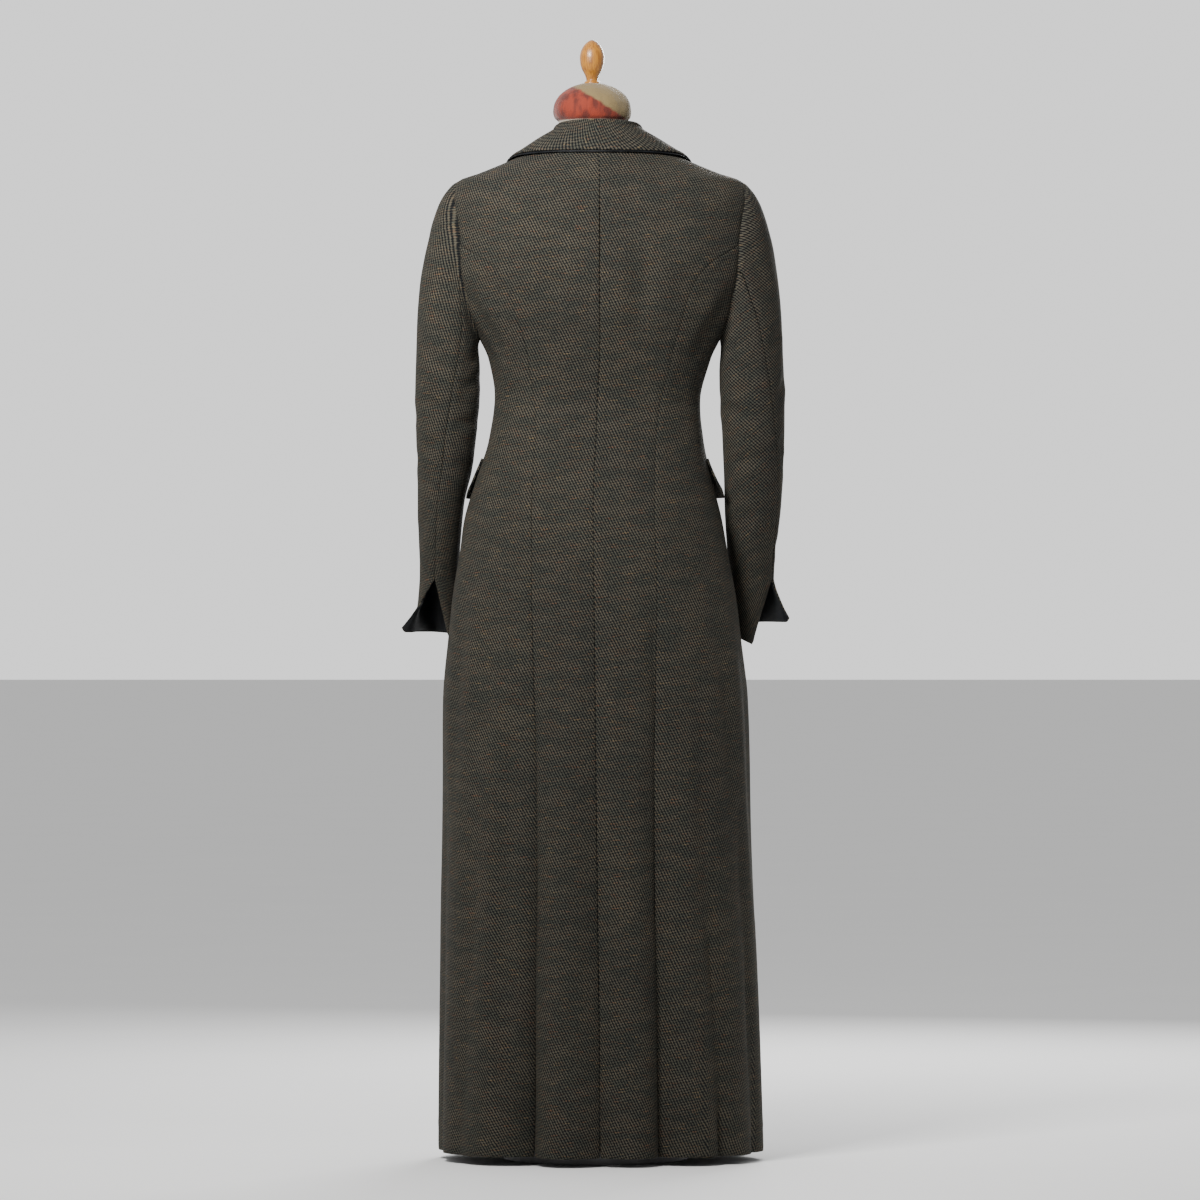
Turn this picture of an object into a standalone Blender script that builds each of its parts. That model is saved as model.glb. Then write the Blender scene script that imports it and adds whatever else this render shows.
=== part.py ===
"""A full-length tweed coat on a limbless dress form, seen from behind along +Y.

Metres, +Z up. The back of the coat faces -Y, the front faces +Y and +X is to the right
of someone who looks at the back. The origin is on the floor, under the middle of the coat.
"""
import math
from collections import namedtuple

import bmesh
import bpy
from mathutils import Vector

# Cloth
WALL = 0.0025
SEAM = 0.0003
FACING_WALL = 0.0012
UNDER_COLLAR_WALL = 0.0012
STEP = 0.0005

# Heights of the coat
HEM = 0.012
HIP = 0.860
ARMPIT = 1.147
SHOULDER_TIP = 1.3655
NAPE = 1.412
NECK_SIDE = 1.416
BREAK_POINT = 1.190
GORGE = 1.352

# Rows and columns of the cloth grids
SKIRT_ROWS = 10
WAIST_ROWS = 8
ARMHOLE_ROWS = 9
SHOULDER_ROWS = 4
SEAM_TOP_ROW = 5
SEAM_TIP = 0.82
TIP_SQUEEZE = 0.6
PANEL_COLUMNS = {"back": 8, "side_back": 7, "side_front": 6, "front": 6}

# The coat's outer surface as level rings: half width, reach to the back and to the front,
# sideways shift of the middle, and the power of the superellipse
Ring = namedtuple("Ring", "height half_width back front middle power")
RINGS = (
    Ring(0.012, 0.2310, 0.200, 0.1916, 0.0060, 2.20),
    Ring(0.193, 0.2268, 0.190, 0.188, 0.0045, 2.20),
    Ring(0.417, 0.2190, 0.176, 0.176, 0.0015, 2.20),
    Ring(0.641, 0.2128, 0.156, 0.157, -0.0010, 2.20),
    Ring(0.725, 0.2050, 0.146, 0.146, -0.0020, 2.20),
    Ring(0.781, 0.1990, 0.138, 0.138, -0.0025, 2.20),
    Ring(0.848, 0.1870, 0.128, 0.130, -0.0030, 2.20),
    Ring(0.893, 0.1800, 0.120, 0.124, -0.0040, 2.20),
    Ring(0.949, 0.1650, 0.106, 0.114, -0.0030, 2.25),
    Ring(1.005, 0.1500, 0.090, 0.106, 0.0000, 2.30),
    Ring(1.061, 0.1435, 0.081, 0.104, 0.0020, 2.35),
    Ring(1.117, 0.1540, 0.091, 0.115, 0.0050, 2.40),
    Ring(1.147, 0.1680, 0.098, 0.124, 0.0055, 2.40),
    Ring(1.190, 0.1925, 0.107, 0.131, 0.0050, 2.40),
    Ring(1.250, 0.2100, 0.112, 0.117, 0.0050, 2.40),
    Ring(1.330, 0.2120, 0.102, 0.088, 0.0050, 2.20),
    Ring(1.3655, 0.1985, 0.0905, 0.0730, 0.0050, 1.95),
    Ring(1.3770, 0.1680, 0.0860, 0.0680, 0.0045, 1.90),
    Ring(1.3938, 0.1285, 0.0780, 0.0600, 0.0040, 1.90),
    Ring(1.4160, 0.0770, 0.0640, 0.0500, 0.0030, 1.90),
)

# Lengthwise seams of the back, as distances from the ring's middle
SeamRow = namedtuple("SeamRow", "height left right")
BACK_SEAM = (
    SeamRow(0.012, 0.1134, 0.1010),
    SeamRow(0.300, 0.1000, 0.0930),
    SeamRow(0.529, 0.0910, 0.0896),
    SeamRow(0.848, 0.0860, 0.0860),
    SeamRow(1.019, 0.0840, 0.0840),
    SeamRow(1.103, 0.0980, 0.0980),
    SeamRow(1.154, 0.1090, 0.1090),
    SeamRow(1.189, 0.1200, 0.1200),
    SeamRow(1.222, 0.1330, 0.1330),
    SeamRow(1.248, 0.1540, 0.1540),
)
FRONT_SEAM = (
    SeamRow(0.012, 0.1150, 0.1150),
    SeamRow(0.529, 0.0980, 0.0980),
    SeamRow(0.848, 0.0900, 0.0900),
    SeamRow(1.061, 0.0800, 0.0800),
    SeamRow(1.147, 0.0930, 0.0930),
    SeamRow(1.189, 0.1060, 0.1060),
    SeamRow(1.222, 0.1260, 0.1260),
    SeamRow(1.248, 0.1480, 0.1480),
)

# Armhole: how far it bites into the back and the front, as angles round the body
ARMHOLE_BACK = math.radians(25.4)
ARMHOLE_FRONT = math.radians(35.0)
SIDE = math.radians(90.0)

# Folds of the skirt: angles from the centre back at mid skirt and at the hem, depth at the
# hem (a ridge is negative) and how far each flank runs, in degrees; left is negative
Fold = namedtuple("Fold", "start mid_angle hem_angle depth flank_left flank_right")
FOLDS = (
    Fold(0.850, -22.6, -27.2, 0.021, 17.0, 8.0),
    Fold(0.850, 0.0, 0.0, 0.016, 9.0, 12.0),
    Fold(0.830, 22.4, 24.0, 0.026, 9.0, 10.0),
    Fold(0.640, 41.0, 48.5, 0.007, 4.0, 3.5),
    Fold(0.780, -46.0, -58.0, 0.004, 7.0, 7.0),
    Fold(0.600, 64.0, 71.0, 0.007, 5.0, 5.0),
    Fold(0.620, -76.0, -82.0, 0.007, 7.0, 8.0),
    Fold(0.660, 97.0, 101.0, 0.014, 9.0, 10.0),
    Fold(0.700, 124.0, 128.0, 0.019, 10.0, 9.0),
    Fold(0.560, 153.0, 154.0, 0.009, 7.0, 7.0),
    Fold(0.680, -102.0, -108.0, 0.016, 10.0, 9.0),
    Fold(0.720, -130.0, -134.0, 0.018, 9.0, 10.0),
    Fold(0.540, -156.0, -158.0, 0.008, 6.0, 7.0),
)
MID_SKIRT = 0.530

# Front closure and lapels
OVERLAP = 0.022
LAP_BLEND = 0.030
LAPEL_REACH = 0.116
LAPEL_START = {1: 1.196, -1: 1.230}
LAPEL_COLUMNS = 5
LAPEL_ROWS = 8
BUTTON_HEIGHTS = (1.175, 1.075, 0.975, 0.875)
BUTTON_RADIUS = 0.0120
BUTTON_THICKNESS = 0.0042
BUTTON_RIM = 0.0012

# Sleeves: the outer and the inner line of the tube, its middle in depth, half its depth,
# the shift of the pair and the angle of the hind-arm seam on each side
Section = namedtuple("Section", "outer outer_height inner_left inner_right inner_height "
                     "mid_depth half_depth shift hind_left hind_right")
SECTIONS = (
    Section(0.1985, 1.3655, 0.1680, 0.1680, 1.1470, 0.0104, 0.0653, 0.0050, 100.0, 100.0),
    Section(0.2062, 1.3604, 0.1688, 0.1688, 1.1445, 0.0100, 0.0655, 0.0050, 102.0, 98.0),
    Section(0.2145, 1.3518, 0.1694, 0.1694, 1.1420, 0.0096, 0.0655, 0.0050, 104.0, 96.0),
    Section(0.2235, 1.3375, 0.1697, 0.1697, 1.1392, 0.0090, 0.0650, 0.0050, 107.0, 94.0),
    Section(0.2331, 1.3126, 0.1698, 0.1698, 1.1360, 0.0082, 0.0640, 0.0050, 110.0, 91.0),
    Section(0.2408, 1.2846, 0.1697, 0.1697, 1.1325, 0.0074, 0.0625, 0.0050, 113.0, 88.0),
    Section(0.2470, 1.2500, 0.1694, 0.1694, 1.1285, 0.0066, 0.0605, 0.0050, 116.0, 84.0),
    Section(0.2520, 1.2150, 0.1690, 0.1690, 1.1235, 0.0058, 0.0580, 0.0050, 116.0, 79.0),
    Section(0.2550, 1.1750, 0.1684, 0.1684, 1.1170, 0.0052, 0.0555, 0.0050, 113.0, 73.0),
    Section(0.2567, 1.1300, 0.1676, 0.1676, 1.1020, 0.0054, 0.0530, 0.0050, 108.0, 65.0),
    Section(0.2590, 1.0650, 0.1684, 0.1680, 1.0650, 0.0090, 0.0490, 0.0055, 98.0, 54.0),
    Section(0.2585, 1.0150, 0.1730, 0.1712, 1.0150, 0.0150, 0.0465, 0.0060, 90.0, 46.0),
    Section(0.2566, 0.9650, 0.1795, 0.1732, 0.9650, 0.0230, 0.0445, 0.0060, 85.0, 38.0),
    Section(0.2552, 0.9150, 0.1900, 0.1752, 0.9150, 0.0320, 0.0425, 0.0048, 82.0, 32.0),
    Section(0.2520, 0.8650, 0.1930, 0.1800, 0.8650, 0.0420, 0.0400, 0.0028, 80.0, 27.0),
    Section(0.2497, 0.8300, 0.1945, 0.1850, 0.8300, 0.0500, 0.0375, 0.0015, 79.0, 24.0),
    Section(0.2495, 0.8100, 0.1955, 0.1875, 0.8100, 0.0545, 0.0365, 0.0010, 79.0, 23.0),
    Section(0.2495, 0.7400, 0.2012, 0.1955, 0.7400, 0.0660, 0.0350, 0.0000, 79.0, 22.0),
)
FORE_ANGLE = math.radians(-60.0)
ARMHOLE_FADE = 6.0
VENT_SECTION = 16.0
UPPER_SLEEVE_COLUMNS = 8
UNDER_SLEEVE_COLUMNS = 10
CUFF_ROWS = 4

# Open cuffs: where the vent's two edges go at the hem (away from the body, towards the
# front and the hem's own height)
Cuff = namedtuple("Cuff", "edge_out edge_forward hem_height corner_in corner_forward corner_height")
CUFFS = {
    -1: Cuff(0.0430, 0.006, 0.7358, 0.0215, 0.013, 0.7280),
    1: Cuff(0.0250, -0.006, 0.7498, 0.0290, -0.014, 0.7176),
}
FACING_INSET = 0.15
FACING_GAP = 0.0007

# Collar from the centre back (0) to the front (1), on the right side: the tip of its fold,
# the way the fold points, the place of its outer edge on the coat and its foot
CollarRow = namedtuple("CollarRow", "along fold_x fold_y fold_z tip_x tip_y tip_z "
                       "edge_angle edge_height foot_x foot_y foot_z")
COLLAR = (
    CollarRow(0.00, 0.0000, -0.0607, 1.4500, 0.00, 0.00, 1.00, 0.0, 1.4035, 0.0000, -0.0628, 1.4134),
    CollarRow(0.20, 0.0294, -0.0536, 1.4497, -0.03, 0.05, 1.00, 28.0, 1.4030, 0.0365, -0.0550, 1.4145),
    CollarRow(0.40, 0.0507, -0.0323, 1.4480, -0.12, 0.06, 0.99, 60.0, 1.4010, 0.0660, -0.0300, 1.4162),
    CollarRow(0.55, 0.0572, -0.0040, 1.4445, -0.30, 0.00, 0.95, 90.0, 1.3980, 0.0743, -0.0005, 1.4180),
    CollarRow(0.75, 0.0600, 0.0265, 1.4320, -0.60, -0.05, 0.80, 118.0, 1.3860, 0.0660, 0.0242, 1.4182),
    CollarRow(0.88, 0.0570, 0.0552, 1.4015, -0.80, -0.05, 0.60, 134.0, 1.3740, 0.0621, 0.0535, 1.3935),
    CollarRow(1.00, 0.0483, 0.0708, 1.3758, -0.92, -0.06, 0.31, 148.0, 1.3590, 0.0577, 0.0684, 1.3711),
)
COLLAR_LIFT = 0.0068
FOLD_HALF = 0.0037
FOLD_DROP = 0.0072
FOLD_SHOULDER = 0.0024
FOLD_ROUND = 0.8
COLLAR_COLUMNS = 24
COLLAR_ROWS = 9
LEAF_ROW = 7
UNDER_COLLAR_PEEP = 0.0025

# Pocket flaps on the hips
FLAP_TOP = 0.978
FLAP_BOTTOM = 0.921
FLAP_BACK = math.radians(84.0)
FLAP_FRONT = math.radians(134.0)
FLAP_STANDOUT = {-1: 0.0035, 1: 0.0092}
FLAP_COLUMNS = 9
FLAP_ROWS = 4
FLAP_CORNER = 0.012

# Dress form and its stand
TORSO_BOTTOM = 0.800
TORSO_TOP = 1.4080
TORSO_DROP = 0.0032
TORSO_SLACK = 0.0075
TORSO_SHOULDER = 0.188
TORSO_SIDES = 36
NECK_CENTRE = Vector((0.0, -0.0040))
DOME_CENTRE = Vector((-0.0055, -0.0040))
NeckRow = namedtuple("NeckRow", "height radius")
NECK = (
    NeckRow(1.4083, 0.0470), NeckRow(1.4250, 0.0465), NeckRow(1.4400, 0.0460), NeckRow(1.4490, 0.0475),
    NeckRow(1.4560, 0.0530), NeckRow(1.4640, 0.0545), NeckRow(1.4730, 0.0535), NeckRow(1.4841, 0.0480),
    NeckRow(1.4925, 0.0390), NeckRow(1.4990, 0.0270), NeckRow(1.5030, 0.0145),
)
NECK_SIDES = 24
FINIAL = (
    NeckRow(1.5033, 0.0108), NeckRow(1.5050, 0.0108), NeckRow(1.5075, 0.0080), NeckRow(1.5130, 0.0092),
    NeckRow(1.5240, 0.0145), NeckRow(1.5330, 0.0168), NeckRow(1.5400, 0.0172), NeckRow(1.5480, 0.0158),
    NeckRow(1.5560, 0.0118), NeckRow(1.5615, 0.0065), NeckRow(1.5640, 0.0022),
)
FINIAL_SIDES = 16
POLE_RADIUS = 0.0125
BASE_RADIUS = 0.130
BASE_THICKNESS = 0.022
BASE_BEVEL = 0.006

Look = namedtuple("Look", "colour roughness metallic")
TWEED = Look((0.060, 0.055, 0.045), 0.90, 0.0)
BLACK_SATIN = Look((0.010, 0.011, 0.012), 0.45, 0.0)
HORN = Look((0.030, 0.024, 0.018), 0.35, 0.0)
FORM_CLOTH = Look((0.560, 0.500, 0.400), 0.85, 0.0)
CAP_CLOTH = Look((0.420, 0.110, 0.075), 0.75, 0.0)
TURNED_WOOD = Look((0.560, 0.310, 0.130), 0.40, 0.0)
STEEL = Look((0.300, 0.300, 0.300), 0.35, 1.0)


def smooth_curve(knots):
    """Return a smooth function through (position, value) knots that never overshoots them."""
    spots = [spot for spot, _ in knots]
    values = [value for _, value in knots]
    last = len(knots) - 1
    slopes = [(values[i + 1] - values[i]) / (spots[i + 1] - spots[i]) for i in range(last)]
    tangents = [slopes[0]]
    for i in range(1, last):
        before, after = slopes[i - 1], slopes[i]
        tangents.append(0.0 if before * after <= 0.0 else 2.0 * before * after / (before + after))
    tangents.append(slopes[-1])

    def value_at(spot):
        spot = min(max(spot, spots[0]), spots[-1])
        i = 0
        while i < last - 1 and spot > spots[i + 1]:
            i += 1
        span = spots[i + 1] - spots[i]
        t = (spot - spots[i]) / span
        ease = t * t * (3.0 - 2.0 * t)
        lead = t * (1.0 - t) * (1.0 - t)
        trail = t * t * (1.0 - t)
        swing = span * (tangents[i] * lead - tangents[i + 1] * trail)
        return values[i] + (values[i + 1] - values[i]) * ease + swing

    return value_at


def column(rows, key, name):
    """Return one column of a table as a smooth function of another column."""
    ordered = sorted(rows, key=lambda row: getattr(row, key))
    return smooth_curve([(getattr(row, key), getattr(row, name)) for row in ordered])


def ease(t):
    """Rise smoothly from 0 to 1 while t goes from 0 to 1."""
    t = min(max(t, 0.0), 1.0)
    return t * t * (3.0 - 2.0 * t)


HALF_WIDTH = column(RINGS, "height", "half_width")
BACK_REACH = column(RINGS, "height", "back")
FRONT_REACH = column(RINGS, "height", "front")
MIDDLE = column(RINGS, "height", "middle")
POWER = column(RINGS, "height", "power")


def fold_depth(angle, height):
    """How far the folds draw the cloth inwards at an angle (radians) and a height."""
    degrees = math.degrees(angle)
    total = 0.0
    for fold in FOLDS:
        if height >= fold.start:
            continue
        drop = (fold.start - height) / (fold.start - HEM)
        lean = (MID_SKIRT - height) / (MID_SKIRT - HEM)
        centre = fold.mid_angle + (fold.hem_angle - fold.mid_angle) * max(lean, 0.0)
        away = degrees - centre
        away -= 360.0 * round(away / 360.0)
        flank = fold.flank_left if away < 0.0 else fold.flank_right
        total += fold.depth * drop ** 0.85 * math.exp(-abs(away / flank) ** 1.5)
    return total


def ring_point(angle, height):
    """A point of the coat's outer surface; the angle runs from the centre back over the right side."""
    bend = 2.0 / POWER(height)
    sine, cosine = math.sin(angle), math.cos(angle)
    width = HALF_WIDTH(height)
    reach = BACK_REACH(height) if cosine > 0.0 else FRONT_REACH(height)
    x = math.copysign(width * abs(sine) ** bend, sine)
    y = -math.copysign(reach * abs(cosine) ** bend, cosine)
    inward = Vector((-x, -y, 0.0)).normalized()
    return Vector((x + MIDDLE(height), y, height)) + inward * fold_depth(angle, height)


def surface_normal(point_at, first, second, first_step, second_step):
    """Unit normal of a surface that two numbers address."""
    along = point_at(first + first_step, second) - point_at(first - first_step, second)
    upward = point_at(first, second + second_step) - point_at(first, second - second_step)
    return along.cross(upward).normalized()


def body_point(angle, height, depth=0.0):
    """A point of the coat's body, moved in by a depth from the outer surface."""
    outward = surface_normal(ring_point, angle, height, 0.01, STEP)
    return ring_point(angle, height) - outward * depth


def angle_of(offset, height, back):
    """Angle at which the ring is a given distance from its own middle line."""
    share = min(abs(offset) / HALF_WIDTH(height), 1.0)
    angle = math.asin(share ** (POWER(height) / 2.0))
    if not back:
        angle = math.pi - angle
    return math.copysign(angle, offset) if offset else angle


def armhole_height(turn):
    """Height of the armhole at a turn round it, 0 at the shoulder tip and pi at the armpit."""
    middle = (SHOULDER_TIP + ARMPIT) / 2.0
    return middle + (SHOULDER_TIP - ARMPIT) / 2.0 * math.cos(turn)


def armhole_angle(turn):
    """Angle round the body of the armhole, behind the arm for a turn below pi."""
    bite = ARMHOLE_BACK if math.sin(turn) >= 0.0 else ARMHOLE_FRONT
    return SIDE - bite * math.sin(turn)


def steps(start, end, count):
    """Heights from start towards end, without the end."""
    return [start + (end - start) * i / count for i in range(count)]


ARMHOLE_HEIGHTS = [armhole_height(math.pi * (1.0 - i / ARMHOLE_ROWS)) for i in range(ARMHOLE_ROWS)]
HEIGHTS = (steps(HEM, HIP, SKIRT_ROWS) + steps(HIP, ARMPIT, WAIST_ROWS) + ARMHOLE_HEIGHTS
           + steps(SHOULDER_TIP, NECK_SIDE, SHOULDER_ROWS) + [NECK_SIDE])
ARMPIT_ROW = SKIRT_ROWS + WAIST_ROWS
SEAM_END_ROW = ARMPIT_ROW + SEAM_TOP_ROW
TOP_ROW = len(HEIGHTS) - 1
SEAM_END = HEIGHTS[SEAM_END_ROW]


def armhole_turn(height):
    """Turn round the back half of the armhole at a height."""
    share = (height - (SHOULDER_TIP + ARMPIT) / 2.0) / ((SHOULDER_TIP - ARMPIT) / 2.0)
    return math.acos(min(max(share, -1.0), 1.0))


def outer_edge(height, back):
    """Angle of the side seam, the armhole or the shoulder seam, whichever bounds the cloth."""
    if height <= ARMPIT or height >= SHOULDER_TIP:
        return SIDE
    turn = armhole_turn(height)
    return armhole_angle(turn if back else 2.0 * math.pi - turn)


def lengthwise_seam(rows, side, back):
    """Return the angle of a lengthwise seam as a function of height, up to the armhole."""
    name = "left" if side < 0 else "right"
    knots = [(row.height, angle_of(getattr(row, name), row.height, back)) for row in rows]
    knots.append((SEAM_END, outer_edge(SEAM_END, back)))
    seam = smooth_curve(knots)

    def angle_at(height):
        return seam(height) if height < SEAM_END else outer_edge(height, back)

    return angle_at


def roll_line(height):
    """Distance of the front's edge from the middle, past it below the break point."""
    rise = (height - BREAK_POINT) / (NECK_SIDE - BREAK_POINT)
    return -OVERLAP + (0.066 + OVERLAP) * max(rise, 0.0)


def front_edge(height):
    """Angle of the front's edge: the overlap, and above the break point the roll line."""
    offset = roll_line(height)
    angle = angle_of(offset, height, back=False)
    return angle if angle > 0.0 else 2.0 * math.pi + angle


def principled(name, look):
    """Make the material of a piece."""
    material = bpy.data.materials.new(name)
    material.use_nodes = True
    shader = material.node_tree.nodes["Principled BSDF"]
    shader.inputs["Base Color"].default_value = (*look.colour, 1.0)
    shader.inputs["Roughness"].default_value = look.roughness
    shader.inputs["Metallic"].default_value = look.metallic
    return material


def add_piece(name, mesh, look, collection):
    """Turn a finished bmesh into a named object with its own material."""
    bmesh.ops.recalc_face_normals(mesh, faces=mesh.faces)
    if mesh.calc_volume(signed=True) < 0.0:
        bmesh.ops.reverse_faces(mesh, faces=mesh.faces)
    data = bpy.data.meshes.new(name)
    mesh.to_mesh(data)
    mesh.free()
    data.shade_smooth()
    data.set_sharp_from_angle(angle=math.radians(40.0))
    data.materials.append(principled(name, look))
    piece = bpy.data.objects.new(name, data)
    collection.objects.link(piece)
    return piece


def cut_cloth(name, columns, rows, place, look, collection, wall=WALL):
    """Cut a closed sheet in flat coordinates and put its every corner in its place.

    place takes the share across, the row and the depth below the outer face.
    """
    mesh = bmesh.new()
    bmesh.ops.create_grid(mesh, x_segments=columns, y_segments=rows, size=0.5)
    raised = bmesh.ops.extrude_face_region(mesh, geom=mesh.faces[:], use_keep_orig=True)["geom"]
    lining = [item for item in raised if isinstance(item, bmesh.types.BMVert)]
    bmesh.ops.translate(mesh, vec=(0.0, 0.0, 1.0), verts=lining)
    for corner in mesh.verts:
        across, up, under = corner.co
        corner.co = place(across + 0.5, (up + 0.5) * rows, wall * under)
    return add_piece(name, mesh, look, collection)


def body_panel(name, side, first_edge, last_edge, last_row, columns, collection, lap=None):
    """A lengthwise panel of the coat between two edges, from the hem to its last row."""
    rows = math.ceil(last_row)

    def corner(across, row, depth):
        height = HEIGHTS[row]
        start, end = first_edge(height), last_edge(height)
        width = (ring_point(end, height) - ring_point(start, height)).length
        trim = SEAM / 2.0 / max(width, SEAM)
        angle = side * (start + (end - start) * (trim + across * (1.0 - 2.0 * trim)))
        if height > SHOULDER_TIP and abs(angle) < SIDE:
            rise = (height - SHOULDER_TIP) / (NECK_SIDE - SHOULDER_TIP)
            height -= (NECK_SIDE - NAPE) * rise * (1.0 - abs(angle) / SIDE)
        if lap:
            depth += lap(angle, height)
        return body_point(angle, height, depth)

    def place(across, up, depth):
        row = round(up)
        if row <= last_row:
            return corner(across, row, depth)
        share = last_row - math.floor(last_row)
        across = 0.5 + (across - 0.5) * TIP_SQUEEZE
        return corner(across, row - 1, depth).lerp(corner(across, row, depth), share)

    return cut_cloth(name, columns, rows, place, TWEED, collection)


def under_lap(angle, height):
    """Depth that takes the left front under the right one near the centre front."""
    if math.cos(angle) > 0.0:
        return 0.0
    offset = ring_point(angle, height).x - MIDDLE(height)
    return (WALL + 1.5 * SEAM) * ease((offset + OVERLAP + LAP_BLEND) / LAP_BLEND)


def make_body(collection):
    """The eight lengthwise panels."""
    for side, label in ((-1, "left"), (1, "right")):
        back_seam = lengthwise_seam(BACK_SEAM, side, back=True)
        front_seam = lengthwise_seam(FRONT_SEAM, side, back=False)

        def centre_back(height):
            return 0.0

        def back_outer(height):
            return outer_edge(height, back=True)

        def front_outer(height):
            return outer_edge(height, back=False)

        end_row = SEAM_END_ROW - 1 + SEAM_TIP
        lap = under_lap if side < 0 else None
        body_panel("back_" + label, side, centre_back, back_seam, TOP_ROW,
                   PANEL_COLUMNS["back"], collection)
        body_panel("side_back_" + label, side, back_seam, back_outer, end_row,
                   PANEL_COLUMNS["side_back"], collection)
        body_panel("side_front_" + label, side, front_outer, front_seam, end_row,
                   PANEL_COLUMNS["side_front"], collection)
        body_panel("front_" + label, side, front_seam, front_edge, TOP_ROW,
                   PANEL_COLUMNS["front"], collection, lap)


def lapel_edge(height):
    """Distance of the lapel's outer edge from the middle."""
    rise = (height - BREAK_POINT) / (GORGE - BREAK_POINT)
    return -OVERLAP + (LAPEL_REACH + OVERLAP) * rise ** 0.93


def make_lapels(collection):
    """The two lapels, turned back on the fronts."""
    for side, label in ((-1, "left"), (1, "right")):

        def place(across, up, depth, side=side):
            height = LAPEL_START[side] + (GORGE - LAPEL_START[side]) * up / LAPEL_ROWS
            inner = roll_line(height) + 4.0 * SEAM
            if side < 0:
                inner = max(inner, 4.0 * SEAM - roll_line(height))
            offset = side * (inner + (lapel_edge(height) - inner) * across)
            angle = angle_of(offset, height, back=False)
            depth -= WALL + 2.0 * SEAM
            if side < 0:
                depth += under_lap(angle, height)
            return body_point(angle, height, depth)

        cut_cloth("lapel_" + label, LAPEL_COLUMNS, LAPEL_ROWS, place, TWEED, collection)


def facet_point(angle, height):
    """A point of the cloth's outer face as its flat faces run from row to row."""
    below = max(row for row in HEIGHTS if row <= height)
    above = min(row for row in HEIGHTS if row > height)
    return ring_point(angle, below).lerp(ring_point(angle, above), (height - below) / (above - below))


def make_buttons(collection):
    """Four buttons down the centre front, each with a raised rim."""
    for number, height in enumerate(BUTTON_HEIGHTS, start=1):
        low, high = height - BUTTON_RADIUS, height + BUTTON_RADIUS
        chord = facet_point(math.pi, high) - facet_point(math.pi, low)
        outward = Vector((0.0, chord.z, -chord.y)).normalized()
        seat = facet_point(math.pi, height)
        under = [low, high] + [row for row in HEIGHTS if low < row < high]
        proud = max((facet_point(math.pi, spot) - seat).dot(outward) for spot in under)
        seat += outward * (proud + SEAM)
        mesh = bmesh.new()
        bmesh.ops.create_cone(mesh, cap_ends=True, segments=20, radius1=BUTTON_RADIUS,
                              radius2=BUTTON_RADIUS, depth=BUTTON_THICKNESS)
        face = max(mesh.faces, key=lambda item: item.calc_center_median().z)
        bmesh.ops.inset_region(mesh, faces=[face], thickness=0.0022, depth=-BUTTON_RIM)
        bmesh.ops.translate(mesh, vec=(0.0, 0.0, BUTTON_THICKNESS / 2.0), verts=mesh.verts)
        turn = outward.to_track_quat("Z", "Y")
        for corner in mesh.verts:
            corner.co = seat + turn @ corner.co
        add_piece(f"button_{number}", mesh, HORN, collection)


SLEEVE_LINES = {}
for field in Section._fields:
    SLEEVE_LINES[field] = smooth_curve([(index, getattr(row, field)) for index, row in enumerate(SECTIONS)])
LAST_SECTION = len(SECTIONS) - 1


def tube_point(side, turn, along):
    """A point of the plain sleeve tube, before its cuff opens."""
    line = {name: curve(along) for name, curve in SLEEVE_LINES.items()}
    outer = Vector((line["outer"], 0.0, line["outer_height"]))
    inner = Vector((line["inner_left" if side < 0 else "inner_right"], 0.0, line["inner_height"]))
    middle = (outer + inner) / 2.0
    half = (outer - inner) / 2.0
    spot = middle + half * math.cos(turn)
    spot.y = line["mid_depth"] - line["half_depth"] * math.sin(turn)
    spot.x = spot.x * side + line["shift"]
    return spot


def armhole_point(side, turn):
    """A point of the armhole's edge on the body."""
    return ring_point(side * armhole_angle(turn), armhole_height(turn))


def seam_turns(side, along):
    """Turns of the hind-arm and the fore-arm seam at a place along the sleeve."""
    name = "hind_left" if side < 0 else "hind_right"
    return math.radians(SLEEVE_LINES[name](along)), FORE_ANGLE


def sleeve_surface(side, around, along):
    """Outer surface of a sleeve.

    around is -1 at the upper sleeve's hind edge, 0 at the fore-arm seam and 1 at the
    under sleeve's hind edge; along counts the sections down from the armhole.
    """
    hind, fore = seam_turns(side, along)
    if around <= 0.0:
        turn = fore - around * (hind - fore)
    else:
        turn = fore - around * (fore + 2.0 * math.pi - hind)
    spot = tube_point(side, turn, along)
    if along < ARMHOLE_FADE:
        fade = 1.0 - ease(along / ARMHOLE_FADE)
        spot += (armhole_point(side, turn % (2.0 * math.pi)) - tube_point(side, turn, 0.0)) * fade
    if along > VENT_SECTION:
        cuff = CUFFS[side]
        opening = (along - VENT_SECTION) / (LAST_SECTION - VENT_SECTION)
        if around < 0.0:
            pull = opening * abs(around) ** 3.0
            spot.x += side * cuff.edge_out * pull
            spot.y += cuff.edge_forward * pull
        else:
            pull = opening * around ** 3.0
            spot.x -= side * cuff.corner_in * pull
            spot.y += cuff.corner_forward * pull
        top = SECTIONS[int(VENT_SECTION)].outer_height
        drop = cuff.hem_height
        if around > 0.0:
            drop += (cuff.corner_height - cuff.hem_height) * ease(around)
        spot.z = top + (drop - top) * opening
    return spot


def sleeve_point(side, around, along, depth):
    """A point of a sleeve, moved in by a depth from the outer surface."""

    def point_at(first, second):
        return sleeve_surface(side, first, max(second, 0.0))

    outward = surface_normal(point_at, around, along, 0.01, 0.02) * -side
    return sleeve_surface(side, around, along) - outward * depth


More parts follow.
